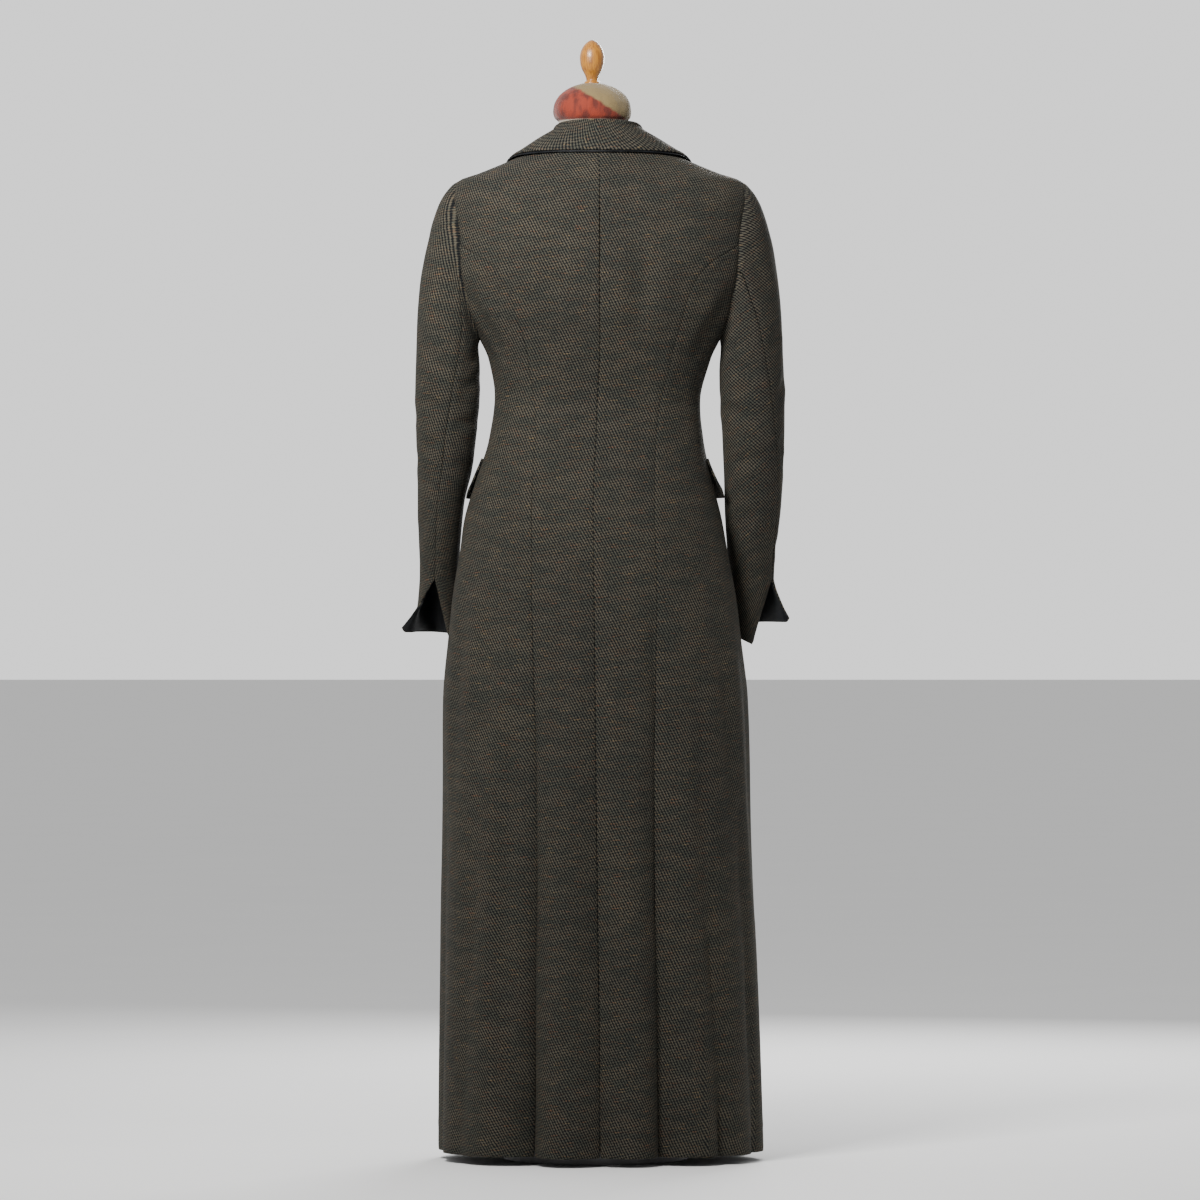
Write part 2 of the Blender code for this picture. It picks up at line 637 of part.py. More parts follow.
def make_sleeves(collection):
    """Upper and under sleeves and the black facings of their open cuffs."""
    cuff_rows = steps(VENT_SECTION, LAST_SECTION, CUFF_ROWS) + [LAST_SECTION]
    stations = [0.06] + list(range(1, int(VENT_SECTION))) + cuff_rows
    lining_rows = [VENT_SECTION - 1.0] + cuff_rows
    rounds = steps(-1.0, 0.0, UPPER_SLEEVE_COLUMNS) + steps(0.0, 1.0, UNDER_SLEEVE_COLUMNS) + [1.0]
    trim = 0.0022
    for side, label in ((-1, "left"), (1, "right")):

        def upper(across, up, depth, side=side):
            around = -1.0 + trim + across * (1.0 - 2.0 * trim)
            return sleeve_point(side, around, stations[round(up)], depth)

        def under(across, up, depth, side=side):
            around = trim + across * (1.0 - 2.0 * trim)
            return sleeve_point(side, around, stations[round(up)], depth)

        def lining_corner(turn, row, depth, side=side):
            return sleeve_point(side, rounds[turn], lining_rows[row], depth + WALL + FACING_GAP)

        def facing(across, up, depth):
            turn, row = round(across * (len(rounds) - 1)), round(up)
            spot = lining_corner(turn, row, depth)
            if turn in (0, len(rounds) - 1):
                beside = 1 if turn == 0 else turn - 1
                spot = spot.lerp(lining_corner(beside, row, depth), FACING_INSET)
            if row == len(lining_rows) - 1:
                above = lining_corner(turn, row - 1, depth)
                spot = spot.lerp(above, FACING_INSET)
            return spot

        rows = len(stations) - 1
        cut_cloth("upper_sleeve_" + label, UPPER_SLEEVE_COLUMNS, rows, upper, TWEED, collection)
        cut_cloth("under_sleeve_" + label, UNDER_SLEEVE_COLUMNS, rows, under, TWEED, collection)
        cut_cloth("cuff_facing_" + label, len(rounds) - 1, len(lining_rows) - 1, facing, BLACK_SATIN,
                  collection, FACING_WALL)


COLLAR_LINES = {}
for field in CollarRow._fields:
    COLLAR_LINES[field] = column(COLLAR, "along", field)


def collar_path(along, depth):
    """Points of the collar from the stand's foot over the fold to the edge, under its face by a depth."""
    side = -1.0 if along < 0.0 else 1.0
    line = {name: curve(abs(along)) for name, curve in COLLAR_LINES.items()}
    fold = Vector((line["fold_x"], line["fold_y"], line["fold_z"]))
    tip = Vector((line["tip_x"], line["tip_y"], line["tip_z"])).normalized()
    foot = Vector((line["foot_x"], line["foot_y"], line["foot_z"]))
    edge = body_point(side * math.radians(line["edge_angle"]), line["edge_height"], -COLLAR_LIFT)
    edge.x = (edge.x - MIDDLE(edge.z)) * side
    onward = Vector([COLLAR_LINES[name](abs(along) + 0.02) - COLLAR_LINES[name](abs(along) - 0.02)
                     for name in ("fold_x", "fold_y", "fold_z")])
    out = onward.cross(tip).normalized()
    inner = fold - tip * FOLD_DROP - out * FOLD_HALF
    outer = fold - tip * FOLD_DROP + out * FOLD_HALF
    near = fold - tip * FOLD_SHOULDER - out * FOLD_HALF * FOLD_ROUND
    far = fold - tip * FOLD_SHOULDER + out * FOLD_HALF * FOLD_ROUND
    stand_in = (foot - inner).cross(onward).normalized()
    leaf_in = (outer - edge).cross(onward).normalized()
    path = (
        (foot, stand_in),
        (foot.lerp(inner, 0.5), stand_in),
        (inner, (stand_in + out).normalized()),
        (near, (out - tip).normalized()),
        (fold, -tip),
        (far, (-out - tip).normalized()),
        (outer, (leaf_in - out).normalized()),
        (outer.lerp(edge, 0.33), leaf_in),
        (outer.lerp(edge, 0.67), leaf_in),
        (edge, leaf_in),
    )
    spots = [spot + inward * depth for spot, inward in path]
    return [Vector((side * spot.x + MIDDLE(spot.z), spot.y, spot.z)) for spot in spots]


def collar_point(along, row, depth):
    """A point of the collar at a place along it and a row of its path."""
    path = collar_path(along, depth)
    start = min(max(int(math.floor(row)), 0), len(path) - 2)
    t = row - start
    before = path[max(start - 1, 0)]
    first, second = path[start], path[start + 1]
    after = path[min(start + 2, len(path) - 1)]
    if t > 1.0:
        return second + (second - first) * (t - 1.0)
    leave, arrive = (second - before) / 2.0, (after - first) / 2.0
    swing = leave * (t * (1.0 - t) ** 2) - arrive * (t * t * (1.0 - t))
    return first.lerp(second, ease(t)) + swing


def make_collar(collection):
    """The folded collar and the dark under collar that shows below its edge."""

    def collar(across, up, depth):
        return collar_point(2.0 * across - 1.0, up, depth)

    def under_collar(across, up, depth):
        along = 2.0 * across - 1.0
        row = LEAF_ROW + up
        if row >= COLLAR_ROWS:
            leaf = collar_path(along, 0.0)
            row += UNDER_COLLAR_PEEP / (leaf[-1] - leaf[-2]).length
        return collar_point(along, row, depth + WALL + SEAM)

    cut_cloth("collar", COLLAR_COLUMNS, COLLAR_ROWS, collar, TWEED, collection)
    cut_cloth("under_collar", COLLAR_COLUMNS, COLLAR_ROWS - LEAF_ROW, under_collar, BLACK_SATIN,
              collection, UNDER_COLLAR_WALL)


def make_flaps(collection):
    """A pocket flap on each hip, which stands away from the cloth at its lower edge."""
    for side, label in ((-1, "left"), (1, "right")):

        def place(across, up, depth, side=side):
            share = up / FLAP_ROWS
            end = abs(2.0 * across - 1.0)
            corner = FLAP_CORNER * max(end - 0.70, 0.0) / 0.30
            height = FLAP_TOP + (FLAP_BOTTOM + corner * corner / FLAP_CORNER - FLAP_TOP) * share
            angle = side * (FLAP_BACK + (FLAP_FRONT - FLAP_BACK) * across)
            lift = WALL + 2.0 * SEAM + FLAP_STANDOUT[side] * share ** 1.3
            return body_point(angle, height, depth - lift)

        cut_cloth("pocket_flap_" + label, FLAP_COLUMNS, FLAP_ROWS, place, TWEED, collection)


def stack_rings(mesh, rings):
    """Close a body from level rings of corners, the lowest first."""
    loops = [[mesh.verts.new(spot) for spot in ring] for ring in rings]
    count = len(loops[0])
    for low, high in zip(loops, loops[1:]):
        for i in range(count):
            j = (i + 1) % count
            mesh.faces.new((low[i], low[j], high[j], high[i]))
    mesh.faces.new(loops[0][::-1])
    mesh.faces.new(loops[-1])


def make_form(collection):
    """The limbless dress form: torso, neck with its domed cap, finial, pole and base."""
    heights = [TORSO_BOTTOM, 0.812, 0.850, 0.893, 0.949, 1.005, 1.061, 1.117, 1.160, 1.205,
               1.250, 1.300, 1.335, 1.360, 1.372, 1.384, 1.396, TORSO_TOP]
    rings = []
    for height in heights:
        level = height + TORSO_DROP
        bend = 2.0 / POWER(level)
        slack = TORSO_SLACK * ease((SHOULDER_TIP - height) / 0.06) + 0.0012
        tuck = 0.030 * ease((0.850 - height) / 0.050)
        width = HALF_WIDTH(level) - (slack + tuck)
        if height < SHOULDER_TIP:
            width = min(width, TORSO_SHOULDER)
        ring = []
        for i in range(TORSO_SIDES):
            angle = 2.0 * math.pi * i / TORSO_SIDES
            sine, cosine = math.sin(angle), math.cos(angle)
            reach = BACK_REACH(level) if cosine > 0.0 else FRONT_REACH(level) - WALL - 2.0 * SEAM
            reach -= WALL + slack + tuck
            x = math.copysign(width * abs(sine) ** bend, sine) + MIDDLE(level)
            y = -math.copysign(reach * abs(cosine) ** bend, cosine)
            ring.append((x, y, height))
        rings.append(ring)
    mesh = bmesh.new()
    stack_rings(mesh, rings)
    add_piece("form_torso", mesh, FORM_CLOTH, collection)

    rings = []
    for row in NECK:
        lean = ease((row.height - NECK[0].height) / (NECK[5].height - NECK[0].height))
        centre = NECK_CENTRE.lerp(DOME_CENTRE, lean)
        ring = []
        for i in range(NECK_SIDES):
            angle = 2.0 * math.pi * i / NECK_SIDES
            ring.append((centre.x + row.radius * math.cos(angle),
                         centre.y + row.radius * math.sin(angle), row.height))
        rings.append(ring)
    mesh = bmesh.new()
    stack_rings(mesh, rings)
    add_piece("form_neck_cap", mesh, CAP_CLOTH, collection)

    rings = []
    for row in FINIAL:
        ring = []
        for i in range(FINIAL_SIDES):
            angle = 2.0 * math.pi * i / FINIAL_SIDES
            ring.append((DOME_CENTRE.x + row.radius * math.cos(angle),
                         DOME_CENTRE.y + row.radius * math.sin(angle), row.height))
        rings.append(ring)
    mesh = bmesh.new()
    stack_rings(mesh, rings)
    add_piece("form_finial", mesh, TURNED_WOOD, collection)


def make_stand(collection):
    """The pole under the torso and the round base on the floor."""
    bottom = BASE_THICKNESS + SEAM
    top = TORSO_BOTTOM - SEAM
    mesh = bmesh.new()
    bmesh.ops.create_cone(mesh, cap_ends=True, segments=20, radius1=POLE_RADIUS, radius2=POLE_RADIUS,
                          depth=top - bottom)
    bmesh.ops.translate(mesh, vec=(0.0, 0.0, (top + bottom) / 2.0), verts=mesh.verts)
    add_piece("form_pole", mesh, STEEL, collection)

    mesh = bmesh.new()
    bmesh.ops.create_cone(mesh, cap_ends=True, segments=40, radius1=BASE_RADIUS, radius2=BASE_RADIUS,
                          depth=BASE_THICKNESS)
    bmesh.ops.translate(mesh, vec=(0.0, 0.0, BASE_THICKNESS / 2.0), verts=mesh.verts)
    rim = [edge for edge in mesh.edges
           if all(corner.co.z > BASE_THICKNESS / 2.0 for corner in edge.verts)]
    bmesh.ops.bevel(mesh, geom=rim, offset=BASE_BEVEL, segments=2, profile=0.5, affect="EDGES",
                    material=-1)
    add_piece("form_base", mesh, STEEL, collection)


def main():
    """Clear the scene and build the coat on its dress form."""
    for item in list(bpy.data.objects):
        bpy.data.objects.remove(item, do_unlink=True)
    collection = bpy.data.collections.new("tweed_coat_on_dress_form")
    bpy.context.scene.collection.children.link(collection)
    make_body(collection)
    make_lapels(collection)
    make_buttons(collection)
    make_sleeves(collection)
    make_collar(collection)
    make_flaps(collection)
    make_form(collection)
    make_stand(collection)


main()
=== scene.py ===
"""A full-length tweed coat on a limbless dress form, seen from behind.

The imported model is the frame. The cloth of every piece is laid out again on the same
surface with a finer grid, with its seams, hem, creases and weave, and the dress form,
its cap, its turned finial, the buttons and the stand are dressed.
"""
import logging
import math
from dataclasses import dataclass, field
from enum import Enum
from functools import partial
from typing import Any, Callable, Sequence

import bmesh
import bpy
import numpy as np
from mathutils import Matrix, Vector


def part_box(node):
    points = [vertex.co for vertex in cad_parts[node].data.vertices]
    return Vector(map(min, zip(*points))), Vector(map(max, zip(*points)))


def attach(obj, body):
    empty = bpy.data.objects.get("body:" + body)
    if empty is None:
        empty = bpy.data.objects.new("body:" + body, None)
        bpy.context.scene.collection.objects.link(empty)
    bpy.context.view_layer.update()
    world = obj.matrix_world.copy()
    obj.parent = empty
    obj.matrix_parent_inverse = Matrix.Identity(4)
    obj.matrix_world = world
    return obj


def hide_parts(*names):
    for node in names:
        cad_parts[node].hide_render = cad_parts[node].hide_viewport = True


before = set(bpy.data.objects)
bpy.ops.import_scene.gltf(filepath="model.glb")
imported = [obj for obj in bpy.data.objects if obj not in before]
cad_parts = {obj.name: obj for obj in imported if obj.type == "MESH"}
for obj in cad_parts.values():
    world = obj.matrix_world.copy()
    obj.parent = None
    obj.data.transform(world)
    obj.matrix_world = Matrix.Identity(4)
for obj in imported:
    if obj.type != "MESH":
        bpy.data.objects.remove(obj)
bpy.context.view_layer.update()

LOG = logging.getLogger("coat")
FULL_TURN = 2.0 * math.pi
TINY = 1e-12
LEVEL = np.array([1.0, 1.0, 0.0])

Surface = Callable[[np.ndarray, np.ndarray], np.ndarray]
Line = Callable[[np.ndarray], np.ndarray]
Colour = tuple[float, float, float, float]
Place = tuple[float, float, float]
Material = bpy.types.Material
WHITE = (1.0, 1.0, 1.0, 1.0)


class Side(Enum):
    """The two sides of the coat, as seen from behind."""

    LEFT = -1
    RIGHT = 1

    @property
    def label(self) -> str:
        """Ending of the names of this side's pieces."""
        return "left" if self is Side.LEFT else "right"


class Held(Enum):
    """How a cut sheet of cloth is held in the finished coat."""

    FOLDED = "folded"
    HUNG = "hung"


def ease(t: np.ndarray) -> np.ndarray:
    """Rise smoothly from 0 to 1 while t goes from 0 to 1."""
    t = np.clip(t, 0.0, 1.0)
    return t * t * (3.0 - 2.0 * t)


def bell(away: np.ndarray) -> np.ndarray:
    """Fall smoothly from 1 at 0 on both sides."""
    return np.exp(-(away ** 2))


def unit(rows: np.ndarray) -> np.ndarray:
    """Scale each row of an array to unit length."""
    return rows / np.maximum(np.linalg.norm(rows, axis=-1, keepdims=True), TINY)


def stations(*spans: tuple[float, float, int]) -> np.ndarray:
    """Places along a piece.

    Args:
        spans: start, end and number of steps of each span, which starts where the last one ends.

    Returns:
        The places in order, with both ends.
    """
    runs = [np.linspace(start, end, steps, endpoint=False) for start, end, steps in spans]
    return np.concatenate([*runs, [spans[-1][1]]])


def clustered(count: int, share: float = 0.6) -> np.ndarray:
    """Shares from 0 to 1 that lie closer together near both ends."""
    even = np.linspace(0.0, 1.0, count + 1)
    return even * (1.0 - share) + (0.5 - 0.5 * np.cos(math.pi * even)) * share


def arc_lengths(spots: np.ndarray, axis: int) -> np.ndarray:
    """Distances along a grid of points, from its first row or column."""
    steps = np.linalg.norm(np.diff(spots, axis=axis), axis=2)
    first = np.zeros_like(np.take(steps, [0], axis=axis))
    return np.concatenate([first, np.cumsum(steps, axis=axis)], axis=axis)


def radial(surface: Surface) -> Surface:
    """Turn a surface into the level directions from the body's axis to its points."""

    def away(first: np.ndarray, second: np.ndarray) -> np.ndarray:
        """Level directions away from the axis."""
        return surface(first, second) * LEVEL

    return away


def closed(mesh: bmesh.types.BMesh) -> None:
    """Close the open ends of a shape and turn its faces outwards."""
    rim = [edge for edge in mesh.edges if edge.is_boundary]
    bmesh.ops.holes_fill(mesh, edges=rim, sides=0)
    bmesh.ops.recalc_face_normals(mesh, faces=mesh.faces[:])


def new_piece(name: str, mesh: bmesh.types.BMesh, material: Material,
              sharp: float | None = None) -> bpy.types.Object:
    """Turn a finished bmesh into an object of the scene.

    Args:
        name: name of the object and of its mesh.
        mesh: its shape, which is freed.
        material: its finish.
        sharp: angle in radians past which an edge stays sharp, or None for none.

    Returns:
        The new object, at the origin.
    """
    data = bpy.data.meshes.new(name)
    mesh.to_mesh(data)
    mesh.free()
    data.shade_smooth()
    if sharp is not None:
        data.set_sharp_from_angle(angle=sharp)
    data.materials.append(material)
    piece = bpy.data.objects.new(name, data)
    bpy.context.scene.collection.objects.link(piece)
    LOG.info("%s: %d faces", name, len(data.polygons))
    return piece


class Curve:
    """A smooth line through knots that never overshoots them."""

    def __init__(self, knots: Sequence[tuple[float, float]]) -> None:
        """Keep the knots and work out the slope at each.

        Args:
            knots: pairs of position and value, in any order.
        """
        ordered = sorted(knots)
        self.spots = np.array([spot for spot, _ in ordered])
        self.values = np.array([value for _, value in ordered])
        slopes = np.diff(self.values) / np.diff(self.spots)
        product = slopes[:-1] * slopes[1:]
        total = slopes[:-1] + slopes[1:]
        inner = np.where(product <= 0.0, 0.0, 2.0 * product / np.where(total == 0.0, 1.0, total))
        self.tangents = np.concatenate([slopes[:1], inner, slopes[-1:]])

    def __call__(self, spot: np.ndarray) -> np.ndarray:
        """Values at the given positions, held at the ends."""
        spot = np.clip(spot, self.spots[0], self.spots[-1])
        i = np.clip(np.searchsorted(self.spots, spot, side="right") - 1, 0, len(self.spots) - 2)
        span = self.spots[i + 1] - self.spots[i]
        t = (spot - self.spots[i]) / span
        swing = self.tangents[i] * t * (1.0 - t) ** 2 - self.tangents[i + 1] * t * t * (1.0 - t)
        return self.values[i] + (self.values[i + 1] - self.values[i]) * ease(t) + span * swing


def curves_of(rows: Sequence[Any], key: str | None = None) -> dict[str, Curve]:
    """Turn a table of dataclass rows into one curve for each column.

    Args:
        rows: the table's rows.
        key: the column that the others follow, or None for the rows' numbers.

    Returns:
        A curve for each column by its name.
    """
    names = rows[0].__dataclass_fields__
    keys = [getattr(row, key) if key else float(number) for number, row in enumerate(rows)]
    return {name: Curve([(spot, getattr(row, name)) for spot, row in zip(keys, rows)]) for name in names}


@dataclass(frozen=True)
class Ring:
    """One level ring of the coat's outer surface."""

    height: float
    half_width: float
    back: float
    front: float
    middle: float
    power: float


@dataclass(frozen=True)
class SeamRow:
    """Distance of a lengthwise seam from the middle line at a height."""

    height: float
    left: float
    right: float


@dataclass(frozen=True)
class Fold:
    """A fold of the skirt, as angles round the body at mid skirt and at the hem."""

    start: float
    mid_angle: float
    hem_angle: float
    depth: float
    flank_left: float
    flank_right: float


@dataclass(frozen=True)
class Crease:
    """A crease between two places of a surface, with a bow to one side."""

    start: tuple[float, float]
    end: tuple[float, float]
    width: float
    depth: float
    bow: float = 0.0


RINGS = (
    Ring(0.012, 0.2310, 0.200, 0.1916, 0.0060, 2.20),
    Ring(0.193, 0.2268, 0.190, 0.188, 0.0045, 2.20),
    Ring(0.417, 0.2190, 0.176, 0.176, 0.0015, 2.20),
    Ring(0.641, 0.2128, 0.156, 0.157, -0.0010, 2.20),
    Ring(0.725, 0.2050, 0.146, 0.146, -0.0020, 2.20),
    Ring(0.781, 0.1990, 0.138, 0.138, -0.0025, 2.20),
    Ring(0.848, 0.1870, 0.128, 0.130, -0.0030, 2.20),
    Ring(0.893, 0.1800, 0.120, 0.124, -0.0040, 2.20),
    Ring(0.949, 0.1650, 0.106, 0.114, -0.0030, 2.25),
    Ring(1.005, 0.1500, 0.090, 0.106, 0.0000, 2.30),
    Ring(1.061, 0.1435, 0.081, 0.104, 0.0020, 2.35),
    Ring(1.117, 0.1540, 0.091, 0.115, 0.0050, 2.40),
    Ring(1.147, 0.1680, 0.098, 0.124, 0.0055, 2.40),
    Ring(1.190, 0.1925, 0.107, 0.131, 0.0050, 2.40),
    Ring(1.250, 0.2100, 0.112, 0.117, 0.0050, 2.40),
    Ring(1.330, 0.2120, 0.102, 0.088, 0.0050, 2.20),
    Ring(1.3655, 0.1985, 0.0905, 0.0730, 0.0050, 1.95),
    Ring(1.3770, 0.1680, 0.0860, 0.0680, 0.0045, 1.90),
    Ring(1.3938, 0.1285, 0.0780, 0.0600, 0.0040, 1.90),
    Ring(1.4160, 0.0770, 0.0640, 0.0500, 0.0030, 1.90),
)

BACK_SEAM = (
    SeamRow(0.012, 0.1134, 0.1010),
    SeamRow(0.300, 0.1000, 0.0930),
    SeamRow(0.529, 0.0910, 0.0896),
    SeamRow(0.848, 0.0860, 0.0860),
    SeamRow(1.019, 0.0840, 0.0840),
    SeamRow(1.103, 0.0980, 0.0980),
    SeamRow(1.154, 0.1090, 0.1090),
    SeamRow(1.189, 0.1200, 0.1200),
    SeamRow(1.222, 0.1330, 0.1330),
    SeamRow(1.248, 0.1540, 0.1540),
)
FRONT_SEAM = (
    SeamRow(0.012, 0.1150, 0.1150),
    SeamRow(0.529, 0.0980, 0.0980),
    SeamRow(0.848, 0.0900, 0.0900),
    SeamRow(1.061, 0.0800, 0.0800),
    SeamRow(1.147, 0.0930, 0.0930),
    SeamRow(1.189, 0.1060, 0.1060),
    SeamRow(1.222, 0.1260, 0.1260),
    SeamRow(1.248, 0.1480, 0.1480),
)

FOLDS = (
    Fold(0.850, -22.6, -27.2, 0.025, 10.0, 8.5),
    Fold(0.850, 0.0, 0.0, 0.017, 7.5, 9.5),
    Fold(0.830, 22.4, 24.0, 0.026, 8.0, 10.0),
    Fold(0.680, 41.0, 48.5, 0.010, 4.5, 3.5),
    Fold(0.780, -46.0, -58.0, 0.004, 7.0, 7.0),
    Fold(0.600, 64.0, 71.0, 0.007, 5.0, 5.0),
    Fold(0.620, -76.0, -82.0, 0.007, 7.0, 8.0),
    Fold(0.660, 97.0, 101.0, 0.014, 9.0, 10.0),
    Fold(0.700, 124.0, 128.0, 0.019, 10.0, 9.0),
    Fold(0.560, 153.0, 154.0, 0.009, 7.0, 7.0),
    Fold(0.680, -102.0, -108.0, 0.016, 10.0, 9.0),
    Fold(0.720, -130.0, -134.0, 0.018, 9.0, 10.0),
    Fold(0.540, -156.0, -158.0, 0.008, 6.0, 7.0),
)


@dataclass
class BodyShape:
    """The outer surface of the coat's body, and the lines that its panels share."""

    hem: float = 0.012
    hip: float = 0.860
    armpit: float = 1.147
    shoulder_tip: float = 1.3655
    nape: float = 1.412
    neck_side: float = 1.416
    break_point: float = 1.190
    gorge: float = 1.352
    mid_skirt: float = 0.530
    overlap: float = 0.022
    lap_blend: float = 0.030
    lap_gaps: float = 1.5
    neck_reach: float = 0.066
    armhole_back: float = math.radians(25.4)
    armhole_front: float = math.radians(35.0)
    side: float = math.radians(90.0)
    seam_end_turn: float = math.pi * (1.0 - 5.0 / 9.0)
    wall: float = 0.0025
    gap: float = 0.0003
    tip_gap: float = 0.0004
    girth_steps: int = 40
    rise_levels: int = 400
    turn_step: float = 0.01
    height_step: float = 0.0005
    skirt_rows: int = 160
    waist_rows: int = 64
    armhole_rows: int = 54
    shoulder_rows: int = 14
    fold_share: float = 1.42
    fold_growth: float = 0.85
    fold_flatness: float = 1.5
    crispness: float = 0.22
    crisp_core: float = 0.22

    def __post_init__(self) -> None:
        """Turn the tables into curves."""
        self.lines = curves_of(RINGS, "height")
        self.seam_end = float(self.armhole_height(np.array(self.seam_end_turn)))

    def fold_depth(self, angle: np.ndarray, height: np.ndarray) -> np.ndarray:
        """How far the folds draw the cloth inwards."""
        degrees = np.degrees(angle)
        total = np.zeros_like(degrees)
        for fold in FOLDS:
            drop = np.clip((fold.start - height) / (fold.start - self.hem), 0.0, None)
            lean = np.clip((self.mid_skirt - height) / (self.mid_skirt - self.hem), 0.0, None)
            away = degrees - (fold.mid_angle + (fold.hem_angle - fold.mid_angle) * lean)
            away -= 360.0 * np.round(away / 360.0)
            flank = np.where(away < 0.0, fold.flank_left, fold.flank_right)
            reach = np.abs(away / flank)
            form = np.exp(-(reach ** self.fold_flatness)) + self.crispness * np.exp(-reach / self.crisp_core)
            total += self.fold_share * fold.depth * drop ** self.fold_growth * form
        return total

    def ring(self, angle: np.ndarray, height: np.ndarray) -> np.ndarray:
        """Points of the outer surface; the angle runs from the centre back over the right side."""
        angle, height = np.broadcast_arrays(np.asarray(angle, float), np.asarray(height, float))
        bend = 2.0 / self.lines["power"](height)
        sine, cosine = np.sin(angle), np.cos(angle)
        reach = np.where(cosine > 0.0, self.lines["back"](height), self.lines["front"](height))
        x = np.sign(sine) * self.lines["half_width"](height) * np.abs(sine) ** bend
        y = -np.sign(cosine) * reach * np.abs(cosine) ** bend
        share = 1.0 - self.fold_depth(angle, height) / np.maximum(np.hypot(x, y), TINY)
        return np.stack([x * share + self.lines["middle"](height), y * share, height], axis=-1)

    def outward(self, angle: np.ndarray, height: np.ndarray) -> np.ndarray:
        """Unit normals of the outer surface."""
        turn, lift = self.turn_step, self.height_step
        along = self.ring(angle + turn, height) - self.ring(angle - turn, height)
        upward = self.ring(angle, height + lift) - self.ring(angle, height - lift)
        return unit(np.cross(along, upward))

    def point(self, angle: np.ndarray, height: np.ndarray, depth: np.ndarray | float = 0.0) -> np.ndarray:
        """Points of the body, moved in by a depth from the outer surface."""
        depth = np.asarray(depth, float)[..., None]
        return self.ring(angle, height) - self.outward(angle, height) * depth

    def angle_of(self, offset: np.ndarray, height: np.ndarray, back: bool) -> np.ndarray:
        """Angles at which the ring is a given distance from its own middle line."""
        share = np.minimum(np.abs(offset) / self.lines["half_width"](height), 1.0)
        angle = np.arcsin(share ** (self.lines["power"](height) / 2.0))
        if not back:
            angle = math.pi - angle
        return np.where(offset < 0.0, -angle, angle)

    def armhole_height(self, turn: np.ndarray) -> np.ndarray:
        """Height of the armhole at a turn round it, 0 at the shoulder tip and pi at the armpit."""
        middle = (self.shoulder_tip + self.armpit) / 2.0
        return middle + (self.shoulder_tip - self.armpit) / 2.0 * np.cos(turn)

    def armhole_angle(self, turn: np.ndarray) -> np.ndarray:
        """Angle round the body of the armhole, behind the arm for a turn below pi."""
        bite = np.where(np.sin(turn) >= 0.0, self.armhole_back, self.armhole_front)
        return self.side - bite * np.sin(turn)

    def centre_back(self, height: np.ndarray) -> np.ndarray:
        """Angle of the centre back seam."""
        return 0.0 * height

    def outer_edge(self, height: np.ndarray, back: bool) -> np.ndarray:
        """Angle of the side seam, the armhole or the shoulder seam, whichever bounds the cloth."""
        half = (self.shoulder_tip - self.armpit) / 2.0
        share = (height - self.armpit - half) / half
        turn = np.arccos(np.clip(share, -1.0, 1.0))
        return self.armhole_angle(turn if back else FULL_TURN - turn)

    def lengthwise_seam(self, rows: Sequence[SeamRow], side: Side, back: bool) -> Line:
        """Angle of a lengthwise seam as a function of height, up to the armhole.

        Args:
            rows: the seam's table.
            side: the side of the coat.
            back: whether the seam is on the back.

        Returns:
            A function from heights to angles.
        """
        knots = []
        for row in rows:
            offset = np.array(getattr(row, side.label))
            knots.append((row.height, float(self.angle_of(offset, np.array(row.height), back))))
        knots.append((self.seam_end, float(self.outer_edge(np.array(self.seam_end), back))))
        seam = Curve(knots)

        def angle_at(height: np.ndarray) -> np.ndarray:
            """Angle of the seam at a height."""
            return np.where(height < self.seam_end, seam(height), self.outer_edge(height, back))

        return angle_at

    def roll_line(self, height: np.ndarray) -> np.ndarray:
        """Distance of the front's edge from the middle, past it below the break point."""
        rise = (height - self.break_point) / (self.neck_side - self.break_point)
        return -self.overlap + (self.neck_reach + self.overlap) * np.maximum(rise, 0.0)

    def front_edge(self, height: np.ndarray) -> np.ndarray:
        """Angle of the front's edge: the overlap, and above the break point the roll line."""
        angle = self.angle_of(self.roll_line(height), height, False)
        return np.where(angle > 0.0, angle, FULL_TURN + angle)

    def under_lap(self, angle: np.ndarray, height: np.ndarray) -> np.ndarray:
        """Depth that takes the left front under the right one near the centre front."""
        offset = self.ring(angle, height)[..., 0] - self.lines["middle"](height)
        share = ease((offset + self.overlap + self.lap_blend) / self.lap_blend)
        lap = (self.wall + self.lap_gaps * self.gap) * share
        return np.where(np.cos(angle) > 0.0, 0.0, lap)

    def girth(self, angle: np.ndarray, height: np.ndarray) -> np.ndarray:
        """Distance round the body from the nearer of the centre back and the centre front."""
        origin = np.where(np.cos(angle) > 0.0, 0.0, np.where(angle > 0.0, math.pi, -math.pi))
        share = np.linspace(0.0, 1.0, self.girth_steps)[:, None]
        path = self.ring(origin + (angle - origin) * share, height + 0.0 * share)
        around = np.linalg.norm(np.diff(path, axis=0), axis=-1).sum(axis=0)
        return np.where(angle < origin, -around, around)

    def rise(self, height: np.ndarray) -> np.ndarray:
        """Distance up the centre back to a height."""
        levels = np.linspace(self.hem, self.neck_side, self.rise_levels)
        line = self.ring(0.0 * levels, levels)
        climb = np.concatenate([[0.0], np.cumsum(np.linalg.norm(np.diff(line, axis=0), axis=-1))])
        return np.interp(height, levels, climb)

